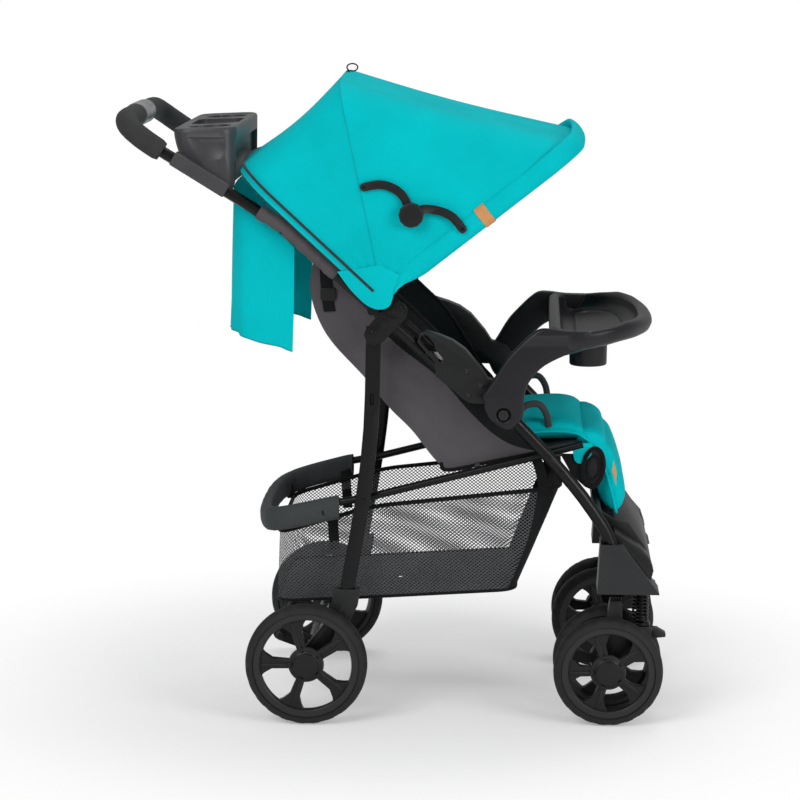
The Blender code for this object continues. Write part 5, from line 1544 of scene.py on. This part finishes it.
class PUSHCHAIR_OT_seat_shell(bpy.types.Operator):
    """Make the side panels, the cloth back, the reclining strap and the edge binding."""

    bl_idname = "pushchair.seat_shell"
    bl_label = "Make seat shell"

    long_steps = 60
    high_steps = 24
    lower_edge = [(0.3540, 0.4175), (0.3150, 0.4090), (0.2810, 0.4020), (0.2160, 0.3885),
                  (0.1600, 0.4510), (0.1250, 0.4860), (0.0870, 0.5330), (0.0300, 0.5970),
                  (0.0050, 0.6600), (0.0100, 0.7150), (0.0280, 0.7400)]
    upper_edge = [(0.3560, 0.4200), (0.3300, 0.4450), (0.2980, 0.4650), (0.2780, 0.4900),
                  (0.2620, 0.5080), (0.2360, 0.5480), (0.2050, 0.5960), (0.1680, 0.6330),
                  (0.1300, 0.6680), (0.0850, 0.7050), (0.0380, 0.7405)]
    grey_line = [(0.3550, 0.4186), (0.3148, 0.4288), (0.2807, 0.4505), (0.2459, 0.4846),
                 (0.2016, 0.5342), (0.1249, 0.5958), (0.0900, 0.6520), (0.0576, 0.7113),
                 (0.0340, 0.7403)]

    def execute(self, context):
        sizes = context.scene.pushchair_sizes
        board = moulded_copy("backrest_board", 0.0020, 40)
        place(board, "backrest", "polyester_shell", "grey_cloth", "backrest_board")
        for side, sign in SIDES:
            rows = self.side_rows(sign)
            panel = grid_sheet("seat_side_cloth_" + side, rows)
            panel.data.materials.append(FINISH["polyester_shell"])
            panel.data.materials.append(FINISH["polyester_lining"])
            cells = len(rows[0]) - 1
            for face in panel.data.polygons:
                face.material_index = 1 if face.index % cells >= cells // 2 else 0
            modify(panel, "SOLIDIFY", thickness=sizes.cloth * 1.5, offset=0.0)
            soften(panel, 60)
            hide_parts("seat_side_" + side)
            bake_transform(panel)
            self.bindings(side, sign)
            self.recline_strap(side, sign)
        return {"FINISHED"}

    def side_rows(self, sign):
        """Rows of a side panel, from its lower edge to its upper edge."""
        lower, middle, upper = (resample(smooth_path(line, 6), self.long_steps + 1)
                                for line in (self.lower_edge, self.grey_line, self.upper_edge))
        rows = []
        for i, (a, b, c) in enumerate(zip(lower, middle, upper)):
            share = i / self.long_steps
            row = []
            for k in range(self.high_steps + 1):
                t = k / self.high_steps
                x, z = lerp(a, b, 2 * t) if t < 0.5 else lerp(b, c, 2 * t - 1)
                belly = math.sin(math.pi * t) * math.sin(math.pi * share)
                ripple = 0.0007 * math.sin(share * 23 + t * 5) * math.sin(math.pi * t)
                row.append(tuple(from_axle(x, sign * (0.1545 + 0.0055 * belly + ripple), z)))
            rows.append(row)
        return rows

    def bindings(self, side, sign):
        """Black binding on the panel's upper edge and on the seat's lower edge."""
        upper = resample(smooth_path(self.upper_edge, 6), self.long_steps + 1)[20:]
        rim = [from_axle(x, sign * 0.1550, z) for x, z in upper]
        binding = tube("seat_side_binding_" + side, rim, 0.0028, 10)
        place(binding, "backrest", "polyester_webbing", "black_cloth")
        lower = smooth_path(self.lower_edge[:4] + [(0.2050, 0.4000)], 6)
        rim = [from_axle(x, sign * (0.1560 + 0.0010 * math.sin(9 * i)), z)
               for i, (x, z) in enumerate(lower)]
        binding = tube("seat_lower_binding_" + side, rim, 0.0030, 10)
        place(binding, "seat_frame", "polyester_webbing", "black_cloth")

    def recline_strap(self, side, sign):
        """Strap and buckle that hold the backrest at its angle."""
        path = [from_axle(x, sign * y, z) for x, y, z in smooth_path([
            (0.030, 0.158, 0.742), (0.028, 0.1595, 0.700), (0.031, 0.160, 0.655),
            (0.034, 0.1585, 0.635)], 6)]
        webbing = strap("recline_strap_" + side, path, (1, 0, 0.05), 0.018, 0.0016)
        place(webbing, "backrest", "polyester_webbing", "black_cloth")
        outline = rounded_loop([(0.020, 0.652), (0.044, 0.652), (0.044, 0.672),
                                (0.020, 0.672)], 0.004, 4)
        buckle = rounded_plate("recline_buckle_" + side, outline, sign * 0.1575,
                               sign * 0.1625, 0.0012)
        place(buckle, "backrest", "glass_filled_nylon", "black_plastic")


class PUSHCHAIR_OT_harness(bpy.types.Operator):
    """Make the shoulder straps and pads, the buckle, the crotch strap and the hip loops."""

    bl_idname = "pushchair.harness"
    bl_label = "Make harness"

    def execute(self, context):
        straps = []
        for side, sign in SIDES:
            path = [self.on_back(sign * y, up, out) for y, up, out in smooth_path([
                (0.058, 0.372, 0.0385), (0.050, 0.300, 0.0425), (0.036, 0.210, 0.0430),
                (0.020, 0.135, 0.0430), (0.010, 0.096, 0.0420)], 6)]
            straps.append(strap("shoulder_strap_" + side, path, (0, 1, 0), 0.024, 0.0018))
        webbing = joined("shoulder_straps", straps)
        place(webbing, "backrest", "polyester_webbing", "black_cloth", "harness")
        for side, sign in SIDES:
            path = [self.on_back(sign * y, up, out) for y, up, out in smooth_path([
                (0.0565, 0.352, 0.0420), (0.047, 0.280, 0.0460), (0.038, 0.222, 0.0460)], 6)]
            pad = strap("shoulder_pad_" + side, path, (0, 1, 0), 0.044, 0.0085)
            place(pad, "backrest", "polyester_band", "black_cloth")
        corners = [(-0.020, 0.080), (0.020, 0.080), (0.024, 0.112), (0.0, 0.120),
                   (-0.024, 0.112)]
        loop = rounded_loop(corners, 0.008, 4)
        middle = 0.100
        rows = [[tuple(self.on_back(y * grow, middle + (up - middle) * grow, out))
                 for y, up in loop]
                for out, grow in ((0.0400, 0.05), (0.0400, 0.90), (0.0410, 1.0), (0.0480, 1.0),
                                  (0.0500, 0.86), (0.0500, 0.05))]
        buckle = soften(outward(grid_sheet("harness_buckle", rows, closed=True)), 40)
        place(buckle, "backrest", "glass_filled_nylon", "black_plastic")
        crotch = in_frame(smooth_path([(0.330, 0.0, 0.462), (0.329, 0.0, 0.488),
                                       (0.316, 0.0, 0.514), (0.298, 0.0, 0.527)], 6))
        belt = strap("crotch_strap", crotch, (0, 1, 0), 0.026, 0.0022)
        place(belt, "seat_frame", "polyester_webbing", "black_cloth")
        for side, sign in SIDES:
            loop = in_frame(smooth_path([
                (0.3180, sign * 0.132, 0.470), (0.3350, sign * 0.138, 0.4870),
                (0.3550, sign * 0.139, 0.4900), (0.3670, sign * 0.136, 0.4750),
                (0.3710, sign * 0.132, 0.4540)], 6))
            hip = tube("hip_loop_" + side, loop, 0.0055, 12)
            place(hip, "seat_frame", "polyester_band", "black_cloth")
        return {"FINISHED"}

    def on_back(self, y, up, out):
        """Point on the backrest at a place across, up and out from its board."""
        x, z = on_back(up, out)
        return from_axle(x, y, z)


# Basket and rear band

class PUSHCHAIR_OT_basket(bpy.types.Operator):
    """Make the net basket with its cloth floor, front wall, hems and straps."""

    bl_idname = "pushchair.basket"
    bl_label = "Make basket"

    around = 160

    def execute(self, context):
        low = self.ring(0.0)
        centre = (0.135, 0.0, 0.182)
        rows = [[lerp(centre, p, share) for p in low] for share in (0.02, 0.3, 0.6, 0.85, 0.96)]
        levels = [k / 16 for k in range(17)]
        rows += [self.ring(t) for t in levels]
        rows = [in_frame(row) for row in rows]
        tub = grid_sheet("basket_tub", rows, closed=True)
        soften(tub, 60)
        place(tub, "seat_frame", "basket_net", "mesh_cloth", "basket")
        tub.data.materials.append(FINISH["polyester_band"])
        tub.data.materials.append(FINISH["polyester_lining"])
        half_way = self.ring(0.5)
        front_columns = [k for k in range(self.around)
                         if min(half_way[k][0], half_way[(k + 1) % self.around][0]) > 0.334]
        for face in tub.data.polygons:
            row, column = divmod(face.index, self.around)
            floor = row < len(rows) - len(levels)
            front = column in front_columns and not floor
            face.material_index = 2 if front else 1 if floor else 0
        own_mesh(tub)
        for name, t, radius in (("basket_top_hem", 1.0, 0.0034),
                                ("basket_floor_hem", 0.0, 0.0026)):
            hem = tube(name, in_frame(self.ring(t)), radius, 8, cyclic=True)
            place(hem, "seat_frame", "polyester_webbing", "black_cloth")
            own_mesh(hem)
        self.straps()
        return {"FINISHED"}

    def ring(self, t):
        """Closed loop of the basket's wall at a share of its height."""
        bulge = 0.006 * math.sin(math.pi * t)
        rear = lerp((-0.052, 0.176), (-0.048, 0.286), t)
        front = lerp((0.322, 0.198), (0.390, 0.362), t)
        middle = lerp((0.100, 0.184), (0.100, 0.330), t)
        half = 0.148 + 0.006 * t + bulge
        right = [(rear[0], -half, rear[1]), (middle[0], -half, middle[1]),
                 (front[0], -half, front[1])]
        left = [(x, -y, z) for x, y, z in right[::-1]]
        loop = rounded_loop(right + left, 0.030, 8)
        return resample(loop, self.around, closed=True)

    def straps(self):
        """Straps that hang the basket from the rear hoop and the seat tubes."""
        for side, sign in SIDES:
            for name, path in (
                    ("rear", [(-0.058, 0.128, 0.308), (-0.055, 0.127, 0.296),
                              (-0.050, 0.126, 0.284)]),
                    ("hoop", [(0.036, 0.1645, 0.332), (0.036, 0.1600, 0.322),
                              (0.037, 0.1570, 0.310), (0.040, 0.1560, 0.262)]),
                    ("front", [(0.352, 0.1640, 0.410), (0.360, 0.1600, 0.385),
                               (0.366, 0.1560, 0.352)])):
                line = [from_axle(x, sign * y, z) for x, y, z in smooth_path(path, 5)]
                item = strap("basket_strap_" + name + "_" + side, line, (1, 0, 0.1), 0.016,
                             0.0016)
                place(item, "seat_frame", "polyester_webbing", "black_cloth")
                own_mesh(item)


class PUSHCHAIR_OT_rear_band(bpy.types.Operator):
    """Make the padded band on the rear hoop with its seam and snaps."""

    bl_idname = "pushchair.rear_band"
    bl_label = "Make rear band"

    def execute(self, context):
        half = [(0.048, -0.1713, 0.3395), (0.030, -0.171, 0.336), (-0.030, -0.160, 0.321),
                (-0.062, -0.130, 0.312), (-0.073, -0.070, 0.309), (-0.075, 0.0, 0.308)]
        whole = half + [(x, -y, z) for x, y, z in half[-2::-1]]
        path = resample(smooth_path(whole, 6), 97)
        rows = []
        for i, (x, y, z) in enumerate(path):
            behind, ahead = neighbours(path, i)
            flow = Vector((ahead[0] - behind[0], ahead[1] - behind[1], 0)).normalized()
            out = Vector((flow.y, -flow.x, 0))
            wrinkle = 1 + 0.05 * math.sin(i * 0.9) + 0.03 * math.sin(i * 2.3)
            ring = []
            for turn in circle(24):
                sideways = math.copysign(abs(math.cos(turn)) ** 0.8, math.cos(turn))
                ring.append(tuple(from_axle(x, y, z - 0.008)
                                  + out * 0.0092 * sideways * wrinkle
                                  + Vector((0, 0, 0.0172 * math.sin(turn)))))
            rows.append(ring)
        band = grid_sheet("rear_band_cover", rows, closed=True)
        modify(band, "SOLIDIFY", thickness=0.0018, offset=-1)
        soften(band, 60)
        place(band, "seat_frame", "polyester_band", "black_cloth", "bumper_cover")
        seam = tube("rear_band_seam", [ring[18] for ring in rows[2:-2]], 0.0010, 8)
        place(seam, "seat_frame", "polyester_webbing", "black_cloth")
        for side, sign in SIDES:
            snap = disc("rear_band_snap_" + side, (0.026, 0.3245), 0.0046, sign * 0.1785,
                        sign * 0.1812, 0.0009, 24)
            place(snap, "seat_frame", "powder_coated_tube", "black_paint")
        return {"FINISHED"}


class PUSHCHAIR_PT_panel(bpy.types.Panel):
    """Buttons, sizes and colours of the pushchair."""

    bl_idname = "PUSHCHAIR_PT_panel"
    bl_label = "Pushchair"
    bl_space_type = "VIEW_3D"
    bl_region_type = "UI"
    bl_category = "Pushchair"

    def draw(self, context):
        for operator in OPERATORS:
            self.layout.operator(operator.bl_idname)
        for group in (context.scene.pushchair_sizes, context.scene.pushchair_colours):
            for name in group.bl_rna.properties.keys():
                if name not in ("rna_type", "name"):
                    self.layout.prop(group, name)


OPERATORS = (
    PUSHCHAIR_OT_finishes, PUSHCHAIR_OT_stage, PUSHCHAIR_OT_mouldings,
    PUSHCHAIR_OT_parent_tray, PUSHCHAIR_OT_handle,
    PUSHCHAIR_OT_wheels, PUSHCHAIR_OT_child_tray, PUSHCHAIR_OT_canopy, PUSHCHAIR_OT_curtain,
    PUSHCHAIR_OT_seat_pads, PUSHCHAIR_OT_seat_shell, PUSHCHAIR_OT_harness,
    PUSHCHAIR_OT_basket, PUSHCHAIR_OT_rear_band,
)
GROUPS = (PushchairColours, PushchairSizes)


def register():
    """Register the classes and hang both settings groups on the scene."""
    for item in (*GROUPS, *OPERATORS, PUSHCHAIR_PT_panel):
        bpy.utils.register_class(item)
    bpy.types.Scene.pushchair_colours = bpy.props.PointerProperty(type=PushchairColours)
    bpy.types.Scene.pushchair_sizes = bpy.props.PointerProperty(type=PushchairSizes)


def unregister():
    """Take the settings groups and the classes away."""
    del bpy.types.Scene.pushchair_sizes
    del bpy.types.Scene.pushchair_colours
    for item in (PUSHCHAIR_PT_panel, *reversed(OPERATORS), *GROUPS):
        bpy.utils.unregister_class(item)


def main():
    """Build the whole pushchair."""
    register()
    for operator in OPERATORS:
        group, name = operator.bl_idname.split(".")
        getattr(getattr(bpy.ops, group), name)()


if __name__ == "__main__":
    main()
